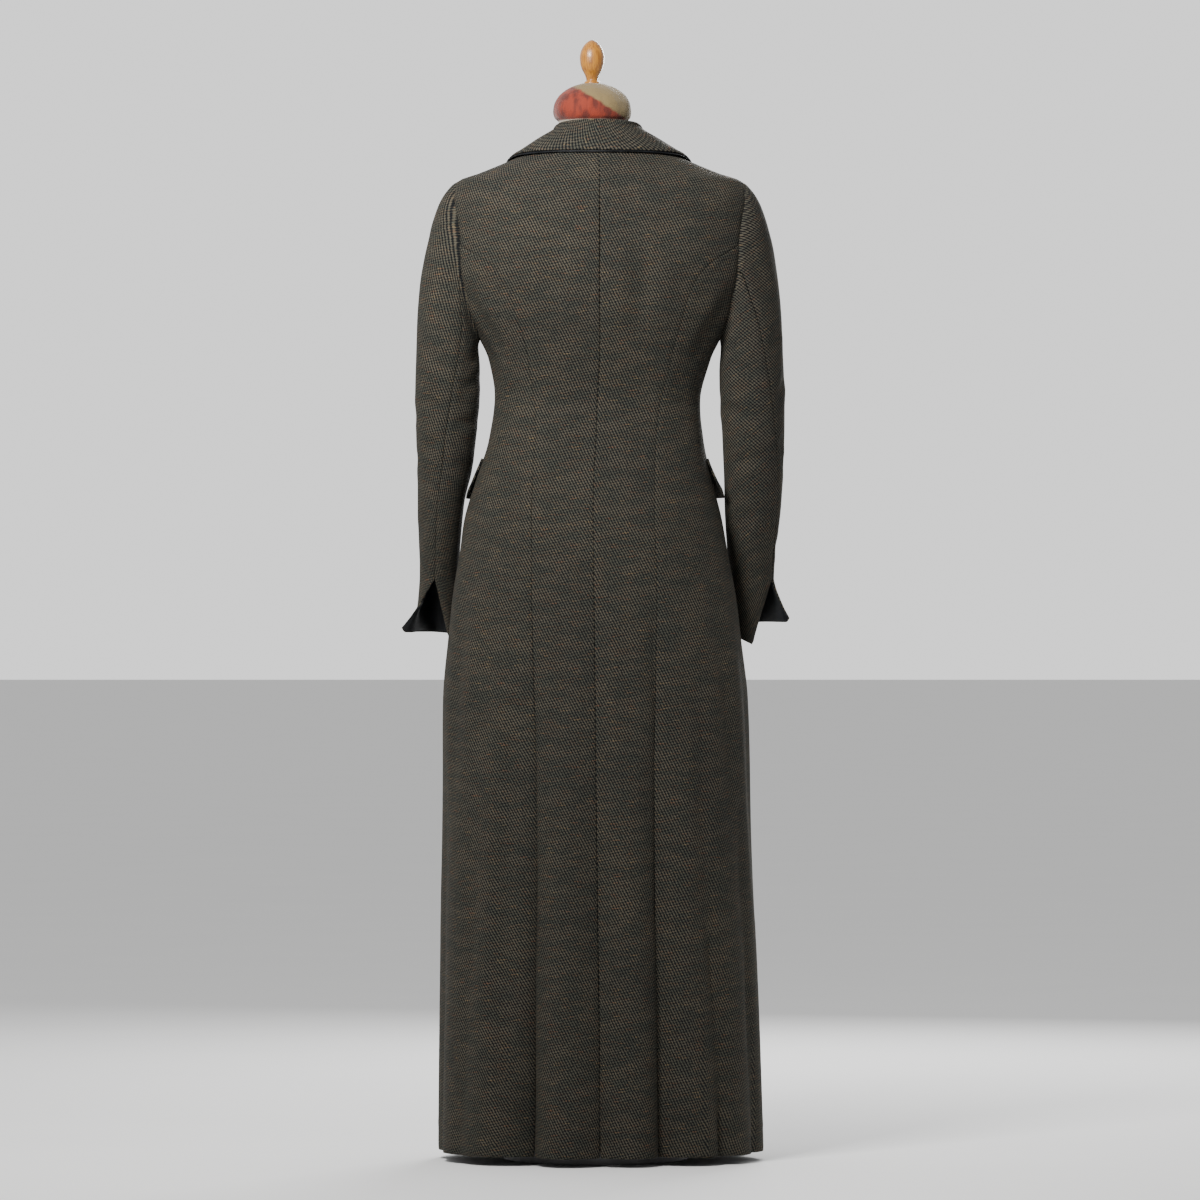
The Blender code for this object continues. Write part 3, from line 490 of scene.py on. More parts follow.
    def heights(self, end_turn: float) -> np.ndarray:
        """Heights of the fine rows from the hem up to a turn of the armhole, 0 for the neck."""
        count = int(round((math.pi - end_turn) / math.pi * self.armhole_rows))
        armhole = self.armhole_height(np.linspace(math.pi, end_turn, count + 1))
        below = stations((self.hem, self.hip, self.skirt_rows), (self.hip, self.armpit, self.waist_rows))[:-1]
        if end_turn > 0.0:
            return np.concatenate([below, armhole])
        shoulder = np.linspace(self.shoulder_tip, self.neck_side, self.shoulder_rows + 1)[1:]
        return np.concatenate([below, armhole, shoulder])


PUCKER_LENGTH = 0.0031
PUCKER_BEND = 2.4
PUCKER_BEND_LENGTH = 0.021
PUCKER_FADE_LENGTH = 0.083
PUCKER_FADE_TURN = 1.7
PUCKER_REACH = 0.011


@dataclass(frozen=True)
class EdgeForm:
    """How the cloth falls and swells beside one of its edges."""

    dip: float
    reach: float
    swell: float = 0.0
    swell_at: float = 0.010
    swell_reach: float = 0.005
    pucker: float = 0.0

    def rise(self, away: np.ndarray, along: np.ndarray, seed: float) -> np.ndarray:
        """Height of the cloth at a distance from the edge.

        Args:
            away: distance from the edge in metres.
            along: place along the edge in metres.
            seed: number that sets where the puckers lie.

        Returns:
            Heights in metres, positive outwards.
        """
        form = self.swell * bell((away - self.swell_at) / self.swell_reach)
        form -= self.dip * bell(away / self.reach)
        bend = PUCKER_BEND * np.sin(along / PUCKER_BEND_LENGTH + seed)
        wave = np.sin(along / PUCKER_LENGTH + seed + bend)
        fade = 0.5 + 0.5 * np.sin(along / PUCKER_FADE_LENGTH + PUCKER_FADE_TURN * seed)
        return form + self.pucker * wave * fade * bell(away / PUCKER_REACH)


SEAMED = EdgeForm(dip=0.0003, reach=0.0018, swell=0.0003, swell_at=0.0080, swell_reach=0.0045, pucker=0.00004)
HEMMED = EdgeForm(dip=0.0005, reach=0.0020, swell=0.0004, swell_at=0.0380, swell_reach=0.0040)
TURNED = EdgeForm(dip=0.0008, reach=0.0020, swell=0.0003, swell_at=0.0060, swell_reach=0.0040)
SET_IN = EdgeForm(dip=0.0006, reach=0.0025, swell=0.0006, swell_at=0.0100, swell_reach=0.0060, pucker=0.00030)
PLAIN = EdgeForm(dip=0.0, reach=0.0020)
Edges = tuple[EdgeForm, EdgeForm, EdgeForm, EdgeForm]


@dataclass(frozen=True)
class Cut:
    """One cut piece of cloth: its grid, its place, its edges and its creases."""

    node: str
    across: np.ndarray
    up: np.ndarray
    place: Surface
    away: Surface
    grain: Surface | None = None
    grain_turn: float = 0.0
    creases: tuple[Crease, ...] = ()
    edges: Edges = (PLAIN, PLAIN, PLAIN, PLAIN)
    wall: float = 0.0022
    drift: float = 0.0006
    seed: float = 0.0
    held: Held = Held.HUNG
    rests_on: tuple[str, ...] = ("form_torso",)
    rim: float = 0.28

    @property
    def name(self) -> str:
        """Name of the laid cloth."""
        return self.node + "_cloth"


def distance_to_path(spots: np.ndarray, path: np.ndarray) -> tuple[np.ndarray, np.ndarray]:
    """Distance of points from a path, and how far along it the nearest place is.

    Args:
        spots: points, one a row.
        path: corners of the path, one a row.

    Returns:
        The distances, and the places along the path from 0 to 1.
    """
    best = np.full(len(spots), np.inf)
    place = np.zeros(len(spots))
    count = len(path) - 1
    for i in range(count):
        leg = path[i + 1] - path[i]
        share = np.clip((spots - path[i]) @ leg / max(float(leg @ leg), TINY), 0.0, 1.0)
        away = np.linalg.norm(spots - path[i] - share[:, None] * leg, axis=1)
        closer = away < best
        best = np.where(closer, away, best)
        place = np.where(closer, (i + share) / count, place)
    return best, place


@dataclass
class Tailor:
    """Lays cut pieces of cloth on their surfaces and keeps their flat sizes."""

    crease_steps: int = 9
    crease_fade: float = 0.7
    bank_height: float = 0.40
    bank_place: float = 2.0
    edge_seed: float = 2.0
    drift_length: float = 0.043
    drift_width: float = 0.031
    drift_bend: float = 2.1
    ripple: float = 0.7
    ripple_width: float = 0.017
    ripple_length: float = 0.057
    ripple_bend: float = 1.6
    thread_shift: tuple[float, float] = (0.37, 0.53)
    rim_segments: int = 2
    rim_angle: float = math.radians(50.0)
    flat_sizes: dict[str, tuple[float, float, float]] = field(default_factory=dict)

    def crease_relief(self, cut: Cut, spots: np.ndarray) -> np.ndarray:
        """Depths of a piece's creases at its points, positive outwards."""
        relief = np.zeros(len(spots))
        share = np.linspace(0.0, 1.0, self.crease_steps)
        for crease in cut.creases:
            first = crease.start[0] + (crease.end[0] - crease.start[0]) * share
            second = crease.start[1] + (crease.end[1] - crease.start[1]) * share
            first = first + crease.bow * np.sin(math.pi * share)
            away, place = distance_to_path(spots, cut.place(first, second))
            fade = np.sin(math.pi * np.clip(place, 0.0, 1.0)) ** self.crease_fade
            banks = bell(away / crease.width - self.bank_place)
            relief += crease.depth * fade * (self.bank_height * banks - bell(away / crease.width))
        return relief

    def relief(self, cut: Cut, spots: np.ndarray, wide: np.ndarray, tall: np.ndarray) -> np.ndarray:
        """Heights of a piece's edges, unevenness and creases over its plain surface.

        Args:
            cut: the piece.
            spots: the grid of its points.
            wide: distances along its rows.
            tall: distances up its columns.

        Returns:
            A height for each point of the grid.
        """
        width, length = wide[:, -1:], tall[-1:, :]
        start, end, foot, head = cut.edges
        seeds = [cut.seed + number * self.edge_seed for number in range(len(cut.edges))]
        relief = np.where(wide < width / 2.0, start.rise(wide, tall, seeds[0]),
                          end.rise(width - wide, tall, seeds[1]))
        relief += foot.rise(tall, wide, seeds[2]) + head.rise(length - tall, wide, seeds[3])
        u, v, seed = wide - width / 2.0, tall, cut.seed
        swell = np.sin(v / self.drift_length + self.drift_bend * np.sin(u / self.drift_width + seed) + seed)
        bend = self.ripple_bend * np.sin(v / self.ripple_length + 2.0 * seed)
        swell += self.ripple * np.sin(u / self.ripple_width + bend)
        creased = self.crease_relief(cut, spots.reshape(-1, 3)).reshape(relief.shape)
        return relief + cut.drift * 0.5 * swell + creased

    def thread_places(self, cut: Cut, wide: np.ndarray, tall: np.ndarray) -> np.ndarray:
        """Places in metres that the weave reads, one for each point of the grid."""
        if cut.grain:
            first, second = np.meshgrid(cut.across, cut.up)
            grain = cut.grain(first.ravel(), second.ravel()).reshape(*wide.shape, 2)
        else:
            grain = np.stack([wide - wide[:, -1:] / 2.0, tall], axis=-1)
        cosine, sine = math.cos(cut.grain_turn), math.sin(cut.grain_turn)
        turned = np.stack([grain[..., 0] * cosine + grain[..., 1] * sine,
                           grain[..., 1] * cosine - grain[..., 0] * sine], axis=-1)
        return turned + np.array(self.thread_shift) * cut.seed

    def lay(self, cut: Cut, material: Material) -> None:
        """Lay one cut piece, dress it and let it stand for its node.

        Args:
            cut: the piece.
            material: its cloth.
        """
        columns, rows = len(cut.across) - 1, len(cut.up) - 1
        mesh = bmesh.new()
        bmesh.ops.create_grid(mesh, x_segments=columns, y_segments=rows, size=0.5)
        flat = np.array([corner.co[:] for corner in mesh.verts])
        i = np.rint((flat[:, 0] + 0.5) * columns).astype(int)
        j = np.rint((flat[:, 1] + 0.5) * rows).astype(int)
        first, second = np.meshgrid(cut.across, cut.up)
        spots = cut.place(first.ravel(), second.ravel()).reshape(rows + 1, columns + 1, 3)
        away = cut.away(first.ravel(), second.ravel()).reshape(spots.shape)
        normals = unit(np.cross(np.gradient(spots, axis=1), np.gradient(spots, axis=0)))
        inside_out = float(np.sum(normals * away)) < 0.0
        if inside_out:
            normals = -normals
        wide, tall = arc_lengths(spots, 1), arc_lengths(spots, 0)
        spots = spots + normals * self.relief(cut, spots, wide, tall)[..., None]
        for corner, column, row in zip(mesh.verts, i, j):
            corner.co = spots[row, column]
        if inside_out:
            bmesh.ops.reverse_faces(mesh, faces=mesh.faces[:])
        area = sum(face.calc_area() for face in mesh.faces)
        piece = new_piece(cut.name, mesh, material)
        corners = np.zeros(len(piece.data.loops), dtype=np.int32)
        piece.data.loops.foreach_get("vertex_index", corners)
        layer = piece.data.uv_layers.new(name="cloth")
        layer.data.foreach_set("uv", self.thread_places(cut, wide, tall)[j, i][corners].ravel())
        wall = piece.modifiers.new("wall", "SOLIDIFY")
        wall.thickness = cut.wall
        wall.offset = -1.0
        rim = piece.modifiers.new("rim", "BEVEL")
        rim.width = cut.wall * cut.rim
        rim.segments = self.rim_segments
        rim.limit_method = "ANGLE"
        rim.angle_limit = self.rim_angle
        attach(piece, "root")
        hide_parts(cut.node)
        size = (float(wide[:, -1].max()), float(tall[-1].max()))
        area = min(area, size[0] * size[1])
        self.flat_sizes[cut.name] = (*size, area)
        LOG.info("%s: %.3f x %.3f m, %.4f m2", cut.name, *size, area)


@dataclass(frozen=True)
class Panel:
    """One lengthwise panel: its two edges, the armhole's turn at its top and its edges' forms."""

    name: str
    first: Line
    last: Line
    end_turn: float
    edges: Edges
    seed: float


@dataclass
class CoatBody:
    """The eight lengthwise panels, the lapels and the pocket flaps."""

    shape: BodyShape
    panel_columns: int = 30
    usual_width: float = 0.10
    joined_rim: float = 0.11
    side_seed: float = 0.31
    layer_gaps: float = 2.0
    lapel_reach: float = 0.116
    lapel_start_left: float = 1.230
    lapel_start_right: float = 1.196
    lapel_bow: float = 0.93
    lapel_gaps: float = 4.0
    lapel_lift: float = 0.0004
    lapel_grain: float = 0.3
    lapel_grid: tuple[int, int] = (22, 44)
    flap_top: float = 0.978
    flap_bottom: float = 0.921
    flap_back: float = math.radians(84.0)
    flap_front: float = math.radians(134.0)
    flap_standout_left: float = 0.0035
    flap_standout_right: float = 0.0092
    flap_curl: float = 1.3
    flap_corner: float = 0.012
    flap_straight: float = 0.70
    flap_grid: tuple[int, int] = (34, 18)

    def panel(self, plan: Panel, side: Side) -> Cut:
        """One lengthwise panel between two edges.

        Args:
            plan: its edges, top and forms.
            side: the side of the coat.

        Returns:
            The cut piece.
        """
        shape = self.shape
        inset = shape.gap / 2.0 / self.usual_width
        lapped = plan.name == "front" and side is Side.LEFT

        def place(across: np.ndarray, up: np.ndarray) -> np.ndarray:
            """Points at a share across the panel, or at an angle past 1, and a height."""
            start, end = plan.first(up), plan.last(up)
            inside = start + (end - start) * (inset + np.clip(across, 0.0, 1.0) * (1.0 - 2.0 * inset))
            angle = np.where(np.abs(across) > 1.0, np.radians(across), side.value * inside)
            rise = np.clip((up - shape.shoulder_tip) / (shape.neck_side - shape.shoulder_tip), 0.0, 1.0)
            fall = (shape.neck_side - shape.nape) * rise * np.clip(1.0 - np.abs(angle) / shape.side, 0.0, 1.0)
            height = up - fall
            return shape.point(angle, height, shape.under_lap(angle, height) if lapped else 0.0 * height)

        def grain(across: np.ndarray, up: np.ndarray) -> np.ndarray:
            """Distance round the body and up it, which the threads follow."""
            start, end = plan.first(up), plan.last(up)
            angle = side.value * (start + (end - start) * across)
            return np.stack([shape.girth(angle, up), shape.rise(up)], axis=-1)

        rows = shape.heights(plan.end_turn)
        if plan.end_turn > 0.0:
            rows[-1] -= shape.tip_gap
        seed = 1.0 + side.value * self.side_seed + plan.seed
        rim = {} if TURNED in plan.edges else {"rim": self.joined_rim}
        return Cut(f"{plan.name}_{side.label}", clustered(self.panel_columns), rows, place, radial(place),
                   grain, creases=BODY_CREASES[side], edges=plan.edges, seed=seed, **rim)

    def panels(self, side: Side) -> list[Cut]:
        """The four panels of a side from the centre back round to the centre front."""
        shape = self.shape
        back_seam = shape.lengthwise_seam(BACK_SEAM, side, True)
        front_seam = shape.lengthwise_seam(FRONT_SEAM, side, False)
        joined = (SEAMED, SEAMED, HEMMED, SEAMED)
        opened = (SEAMED, TURNED, HEMMED, SEAMED)
        top = shape.seam_end_turn
        plans = (
            Panel("back", shape.centre_back, back_seam, 0.0, joined, 0.0),
            Panel("side_back", back_seam, partial(shape.outer_edge, back=True), top, joined, 0.7),
            Panel("side_front", partial(shape.outer_edge, back=False), front_seam, top, joined, 1.3),
            Panel("front", front_seam, shape.front_edge, 0.0, opened, 1.9),
        )
        return [self.panel(plan, side) for plan in plans]

    def lapel(self, side: Side) -> Cut:
        """One lapel, turned back on its front."""
        shape = self.shape
        start = self.lapel_start_left if side is Side.LEFT else self.lapel_start_right
        clear = self.lapel_gaps * shape.gap

        def place(across: np.ndarray, up: np.ndarray) -> np.ndarray:
            """Points at a share across and a share up the lapel."""
            height = start + (shape.gorge - start) * up
            inner = shape.roll_line(height) + clear
            if side is Side.LEFT:
                inner = np.maximum(inner, clear - shape.roll_line(height))
            rise = np.maximum((height - shape.break_point) / (shape.gorge - shape.break_point), 0.0)
            edge = -shape.overlap + (self.lapel_reach + shape.overlap) * rise ** self.lapel_bow
            offset = side.value * (inner + (edge - inner) * across)
            angle = shape.angle_of(offset, height, False)
            depth = np.full_like(height, -(shape.wall + self.layer_gaps * shape.gap + self.lapel_lift))
            if side is Side.LEFT:
                depth += shape.under_lap(angle, height)
            return shape.point(angle, height, depth)

        across, up = (clustered(count) for count in self.lapel_grid)
        return Cut("lapel_" + side.label, across, up, place, radial(place),
                   grain_turn=self.lapel_grain * side.value, creases=LAPEL_CREASES,
                   edges=(PLAIN, TURNED, TURNED, TURNED), seed=3.1 + side.value,
                   held=Held.FOLDED, rests_on=("front_" + side.label,))

    def flap(self, side: Side) -> Cut:
        """One pocket flap, which stands away from the hip at its lower edge."""
        shape = self.shape
        standout = self.flap_standout_left if side is Side.LEFT else self.flap_standout_right

        def place(across: np.ndarray, up: np.ndarray) -> np.ndarray:
            """Points at a share across and a share down the flap."""
            end = np.maximum(np.abs(2.0 * across - 1.0) - self.flap_straight, 0.0)
            corner = self.flap_corner * (end / (1.0 - self.flap_straight)) ** 2
            height = self.flap_top + (self.flap_bottom + corner - self.flap_top) * up
            angle = side.value * (self.flap_back + (self.flap_front - self.flap_back) * across)
            lift = shape.wall + self.layer_gaps * shape.gap + standout * np.maximum(up, 0.0) ** self.flap_curl
            return shape.point(angle, height, -lift)

        across, up = (clustered(count) for count in self.flap_grid)
        return Cut("pocket_flap_" + side.label, across, up, place, radial(place), creases=FLAP_CREASES,
                   edges=(TURNED, TURNED, PLAIN, TURNED), seed=5.3 + side.value,
                   rests_on=("side_front_" + side.label,))

    def make(self, tailor: Tailor, tweed: Material) -> None:
        """Lay the panels, lapels and flaps."""
        for side in Side:
            for cut in self.panels(side):
                tailor.lay(cut, tweed)
        for side in Side:
            tailor.lay(self.lapel(side), tweed)
            tailor.lay(self.flap(side), tweed)


LAPEL_CREASES = (
    Crease((0.10, 0.15), (0.55, 0.55), 0.006, 0.0008),
    Crease((0.20, 0.60), (0.80, 0.85), 0.007, 0.0007),
)
FLAP_CREASES = (
    Crease((0.20, 0.30), (0.45, 0.90), 0.007, 0.0007),
    Crease((0.70, 0.20), (0.62, 0.80), 0.006, 0.0006),
)


BODY_CREASES = {
    Side.LEFT: (
        Crease((-12.0, 1.300), (-15.0, 1.170), 0.018, 0.0016, -1.0),
        Crease((-7.0, 1.065), (-24.0, 1.040), 0.010, 0.0010),
        Crease((-11.0, 0.790), (-13.0, 0.560), 0.014, 0.0022, 1.0),
        Crease((-31.0, 0.640), (-36.5, 0.060), 0.015, 0.0042, -1.0),
        Crease((-66.0, 1.222), (-60.0, 1.120), 0.011, 0.0030, 2.0),
        Crease((-72.0, 1.180), (-74.0, 1.080), 0.010, 0.0022, -2.0),
        Crease((-45.0, 1.075), (-70.0, 1.050), 0.009, 0.0014, 1.0),
        Crease((-52.0, 1.035), (-76.0, 1.020), 0.008, 0.0011, -1.0),
        Crease((-64.0, 0.830), (-66.0, 0.480), 0.013, 0.0026, 2.0),
        Crease((-100.0, 1.190), (-108.0, 1.090), 0.011, 0.0022, 2.0),
        Crease((-99.0, 1.055), (-122.0, 1.040), 0.009, 0.0014),
        Crease((-118.0, 0.860), (-121.0, 0.520), 0.013, 0.0022, -1.5),
        Crease((-150.0, 1.160), (-168.0, 1.130), 0.012, 0.0016, 1.0),
        Crease((-148.0, 1.050), (-166.0, 1.062), 0.009, 0.0012),
        Crease((-146.0, 1.330), (-150.0, 1.250), 0.013, 0.0014),
    ),
    Side.RIGHT: (
        Crease((11.0, 1.300), (13.5, 1.140), 0.015, 0.0032, 1.2),
        Crease((20.0, 1.320), (24.0, 1.250), 0.016, 0.0014, 1.0),
        Crease((6.0, 1.050), (23.0, 1.028), 0.010, 0.0010, 0.5),
        Crease((12.0, 0.780), (12.5, 0.540), 0.013, 0.0018, -1.0),
        Crease((64.0, 1.215), (58.0, 1.110), 0.012, 0.0028, -2.0),
        Crease((73.0, 1.175), (75.0, 1.075), 0.010, 0.0018, 2.0),
        Crease((47.0, 1.062), (72.0, 1.046), 0.009, 0.0013, -1.0),
        Crease((55.0, 0.800), (57.0, 0.420), 0.012, 0.0030, 1.5),
        Crease((79.0, 0.760), (83.0, 0.330), 0.012, 0.0024, -1.5),
        Crease((101.0, 1.185), (107.0, 1.085), 0.011, 0.0020, -2.0),
        Crease((100.0, 1.050), (121.0, 1.036), 0.009, 0.0013),
        Crease((113.0, 0.850), (112.0, 0.500), 0.013, 0.0022, 1.5),
        Crease((149.0, 1.165), (167.0, 1.128), 0.012, 0.0016, -1.0),
        Crease((147.0, 1.048), (165.0, 1.060), 0.009, 0.0012),
        Crease((145.0, 1.335), (149.0, 1.255), 0.013, 0.0013),
        Crease((170.0, 0.860), (168.0, 0.520), 0.014, 0.0016, 1.0),
    ),
}


@dataclass(frozen=True)
class Section:
    """One section of the sleeve pair, from the armhole to the hem."""

    outer: float
    outer_height: float
    inner_left: float
    inner_right: float
    inner_height: float
    mid_depth: float
    half_depth: float
    shift: float
    hind_left: float
    hind_right: float


SECTIONS = (
    Section(0.1985, 1.3655, 0.1680, 0.1680, 1.1470, 0.0104, 0.0653, 0.0050, 100.0, 100.0),
    Section(0.2062, 1.3604, 0.1688, 0.1688, 1.1445, 0.0100, 0.0655, 0.0050, 102.0, 98.0),
    Section(0.2145, 1.3518, 0.1694, 0.1694, 1.1420, 0.0096, 0.0655, 0.0050, 104.0, 96.0),
    Section(0.2235, 1.3375, 0.1697, 0.1697, 1.1392, 0.0090, 0.0650, 0.0050, 107.0, 94.0),
    Section(0.2331, 1.3126, 0.1698, 0.1698, 1.1360, 0.0082, 0.0640, 0.0050, 110.0, 91.0),
    Section(0.2408, 1.2846, 0.1697, 0.1697, 1.1325, 0.0074, 0.0625, 0.0050, 113.0, 88.0),
    Section(0.2470, 1.2500, 0.1694, 0.1694, 1.1285, 0.0066, 0.0605, 0.0050, 116.0, 84.0),
    Section(0.2520, 1.2150, 0.1690, 0.1690, 1.1235, 0.0058, 0.0580, 0.0050, 116.0, 79.0),
    Section(0.2550, 1.1750, 0.1684, 0.1684, 1.1170, 0.0052, 0.0555, 0.0050, 113.0, 73.0),
    Section(0.2567, 1.1300, 0.1676, 0.1676, 1.1020, 0.0054, 0.0530, 0.0050, 108.0, 65.0),
    Section(0.2590, 1.0650, 0.1684, 0.1680, 1.0650, 0.0090, 0.0490, 0.0055, 98.0, 54.0),
    Section(0.2585, 1.0150, 0.1730, 0.1712, 1.0150, 0.0150, 0.0465, 0.0060, 90.0, 46.0),
    Section(0.2566, 0.9650, 0.1795, 0.1732, 0.9650, 0.0230, 0.0445, 0.0060, 85.0, 38.0),
    Section(0.2552, 0.9150, 0.1900, 0.1752, 0.9150, 0.0320, 0.0425, 0.0048, 82.0, 32.0),
    Section(0.2520, 0.8650, 0.1930, 0.1800, 0.8650, 0.0420, 0.0400, 0.0028, 80.0, 27.0),
    Section(0.2497, 0.8300, 0.1945, 0.1850, 0.8300, 0.0500, 0.0375, 0.0015, 79.0, 24.0),
    Section(0.2495, 0.8100, 0.1955, 0.1875, 0.8100, 0.0545, 0.0365, 0.0010, 79.0, 23.0),
    Section(0.2495, 0.7400, 0.2012, 0.1955, 0.7400, 0.0660, 0.0350, 0.0000, 79.0, 22.0),
)


@dataclass(frozen=True)
class Cuff:
    """Where the vent's two edges go at the sleeve's hem."""

    edge_out: float
    edge_forward: float
    hem_height: float
    corner_in: float
    corner_forward: float
    corner_height: float


CUFFS = {
    Side.LEFT: Cuff(0.0430, 0.006, 0.7358, 0.0215, 0.013, 0.7280),
    Side.RIGHT: Cuff(0.0250, -0.006, 0.7498, 0.0290, -0.014, 0.7176),
}


@dataclass
class Sleeves:
    """The two-piece sleeves with their open cuffs and black facings."""

    shape: BodyShape
    fore: float = math.radians(-60.0)
    fade: float = 6.0
    elbow: float = 9.0
    vent: float = 16.0
    last: float = 17.0
    seam_inset: float = 0.0022
    allowance: float = 0.0045
    allowance_end: float = 0.0008
    flare: float = 3.0
    corner_start: float = 0.93
    corner_lift: float = 0.0065
    corner_round: int = 2
    corner_drop: int = 4
    upper_columns: int = 36
    under_columns: int = 40
    upper_rows: int = 49
    lower_rows: int = 84
    cuff_rows: int = 16
    girth_radius: float = 0.047
    grain_lean: float = 0.2
    grain_left: float = math.radians(-4.0)
    grain_right: float = math.radians(24.0)
    rim: float = 0.14
    facing_gap: float = 0.0007
    facing_wall: float = 0.0010
    facing_drift: float = 0.0003
    facing_top: float = 15.0
    facing_foot: float = 16.97
    facing_share: float = 0.996
    facing_columns: int = 72
    facing_rows: int = 8
    turn_step: float = 0.01
    along_step: float = 0.02

    def __post_init__(self) -> None:
        """Turn the sections into curves."""
        self.lines = curves_of(SECTIONS)

    def tube(self, side: Side, turn: np.ndarray, along: np.ndarray) -> np.ndarray:
        """Points of the plain sleeve tube, before its cuff opens."""
        line = {name: curve(along) for name, curve in self.lines.items()}
        inner = line["inner_" + side.label]
        cosine, sine = np.cos(turn), np.sin(turn)
        x = (line["outer"] + inner) / 2.0 + (line["outer"] - inner) / 2.0 * cosine
        z = (line["outer_height"] + line["inner_height"]) / 2.0
        z = z + (line["outer_height"] - line["inner_height"]) / 2.0 * cosine
        y = line["mid_depth"] - line["half_depth"] * sine
        return np.stack([x * side.value + line["shift"], y, z], axis=-1)

    def turn_of(self, side: Side, around: np.ndarray, along: np.ndarray) -> np.ndarray:
        """Turn round the arm of a place between the seams."""
        hind = np.radians(self.lines["hind_" + side.label](along))
        reach = np.where(around <= 0.0, hind - self.fore, self.fore + FULL_TURN - hind)
        return self.fore - around * reach

    def surface(self, side: Side, around: np.ndarray, along: np.ndarray) -> np.ndarray:
        """Points of a sleeve's outer surface.

        Args:
            side: the side of the coat.
            around: -1 at the upper sleeve's hind edge, 0 at the fore-arm seam, 1 at the under one's.
            along: number of the section, counted down from the armhole; below 0 it is the depth
                in metres of the seam allowance that is tucked under the body.

        Returns:
            The points, one a row.
        """
        tuck = np.maximum(-along, 0.0)
        along = np.maximum(along, 0.0)
        turn = self.turn_of(side, around, along)
        spot = self.tube(side, turn, along)
        fade = 1.0 - ease(along / self.fade)
        wrapped = np.mod(turn, FULL_TURN)
        angle = side.value * self.shape.armhole_angle(wrapped)
        height = self.shape.armhole_height(wrapped)
        armhole = self.shape.ring(angle, height)
        spot = spot + (armhole - self.tube(side, turn, 0.0 * along)) * fade[..., None]
        spot = spot - self.shape.outward(angle, height) * tuck[..., None]
        cuff = CUFFS[side]
        opening = np.maximum((along - self.vent) / (self.last - self.vent), 0.0)
        edge = opening * np.maximum(-around, 0.0) ** self.flare
        corner = opening * np.maximum(around, 0.0) ** self.flare
        x = spot[..., 0] + side.value * (cuff.edge_out * edge - cuff.corner_in * corner)
        y = spot[..., 1] + cuff.edge_forward * edge + cuff.corner_forward * corner
        top = self.lines["outer_height"](np.array(self.vent))
        drop = cuff.hem_height + (cuff.corner_height - cuff.hem_height) * ease(np.maximum(around, 0.0))
        z = np.where(opening > 0.0, top + (drop - top) * opening, spot[..., 2])
        near = np.maximum(np.abs(around) - self.corner_start, 0.0) / (1.0 - self.corner_start)
        z = z + self.corner_lift * near ** self.corner_round * opening ** self.corner_drop
        return np.stack([x, y, z], axis=-1)

    def axis(self, side: Side, along: np.ndarray) -> np.ndarray:
        """Middle of the sleeve tube at each section."""
        return (self.tube(side, 0.0 * along, along) + self.tube(side, 0.0 * along + math.pi, along)) / 2.0

    def from_axis(self, side: Side, place: Surface) -> Surface:
        """Turn a surface into the directions from the sleeve's middle to its points."""

        def away(across: np.ndarray, up: np.ndarray) -> np.ndarray:
            """Directions away from the sleeve's middle."""
            return place(across, up) - self.axis(side, up)

        return away

    def piece(self, side: Side, name: str, start: float, end: float, columns: int, seed: float) -> Cut:
        """One sleeve piece between two places round the arm.

        Args:
            side: the side of the coat.
            name: upper or under.
            start: place of its first edge round the arm, as surface takes it.
            end: place of its last edge.
            columns: steps across it.
            seed: number that sets the cloth's unevenness.

        Returns:
            The cut piece.
        """

        def place(across: np.ndarray, up: np.ndarray) -> np.ndarray:
            """Points at a share across and a section along the sleeve."""
            return self.surface(side, start + (end - start) * across, up)

        def grain(across: np.ndarray, up: np.ndarray) -> np.ndarray:
            """Distance round the arm and up it, which the threads follow."""
            spots, middle = place(across, up), self.axis(side, up)
            turn = self.turn_of(side, start + (end - start) * across, up)
            climb = spots[..., 2] + self.grain_lean * middle[..., 1]
            return np.stack([-side.value * turn * self.girth_radius, climb], axis=-1)

        steps = stations((0.0, self.elbow, self.upper_rows), (self.elbow, self.vent, self.lower_rows),
                         (self.vent, self.last, self.cuff_rows))
        steps = np.concatenate([[-self.allowance, -self.allowance_end], steps])
        grain_turn = self.grain_left if side is Side.LEFT else self.grain_right
        return Cut(f"{name}_sleeve_{side.label}", clustered(columns), steps, place,
                   self.from_axis(side, place), grain, grain_turn, SLEEVE_CREASES[side][name],
                   (SEAMED, SEAMED, SET_IN, TURNED), seed=seed, rests_on=("back_" + side.label,),
                   rim=self.rim)

    def facing(self, side: Side) -> Cut:
        """The black facing inside the open cuff."""
        depth = self.shape.wall + self.facing_gap
        turn, step = self.turn_step, self.along_step

        def place(across: np.ndarray, up: np.ndarray) -> np.ndarray:
            """Points at a share round the arm and a section, inside the sleeve's wall."""
            around = self.facing_share * (2.0 * across - 1.0)
            along = self.surface(side, around + turn, up) - self.surface(side, around - turn, up)
            upward = self.surface(side, around, up + step) - self.surface(side, around, up - step)
            outward = unit(np.cross(along, upward)) * -side.value
            return self.surface(side, around, up) - outward * depth

        steps = stations((self.facing_top, self.vent, self.facing_rows),
                         (self.vent, self.facing_foot, 2 * self.facing_rows))
        return Cut("cuff_facing_" + side.label, clustered(self.facing_columns), steps, place,
                   self.from_axis(side, place), wall=self.facing_wall, drift=self.facing_drift,
                   seed=7.7 + side.value, rests_on=("under_sleeve_" + side.label,))

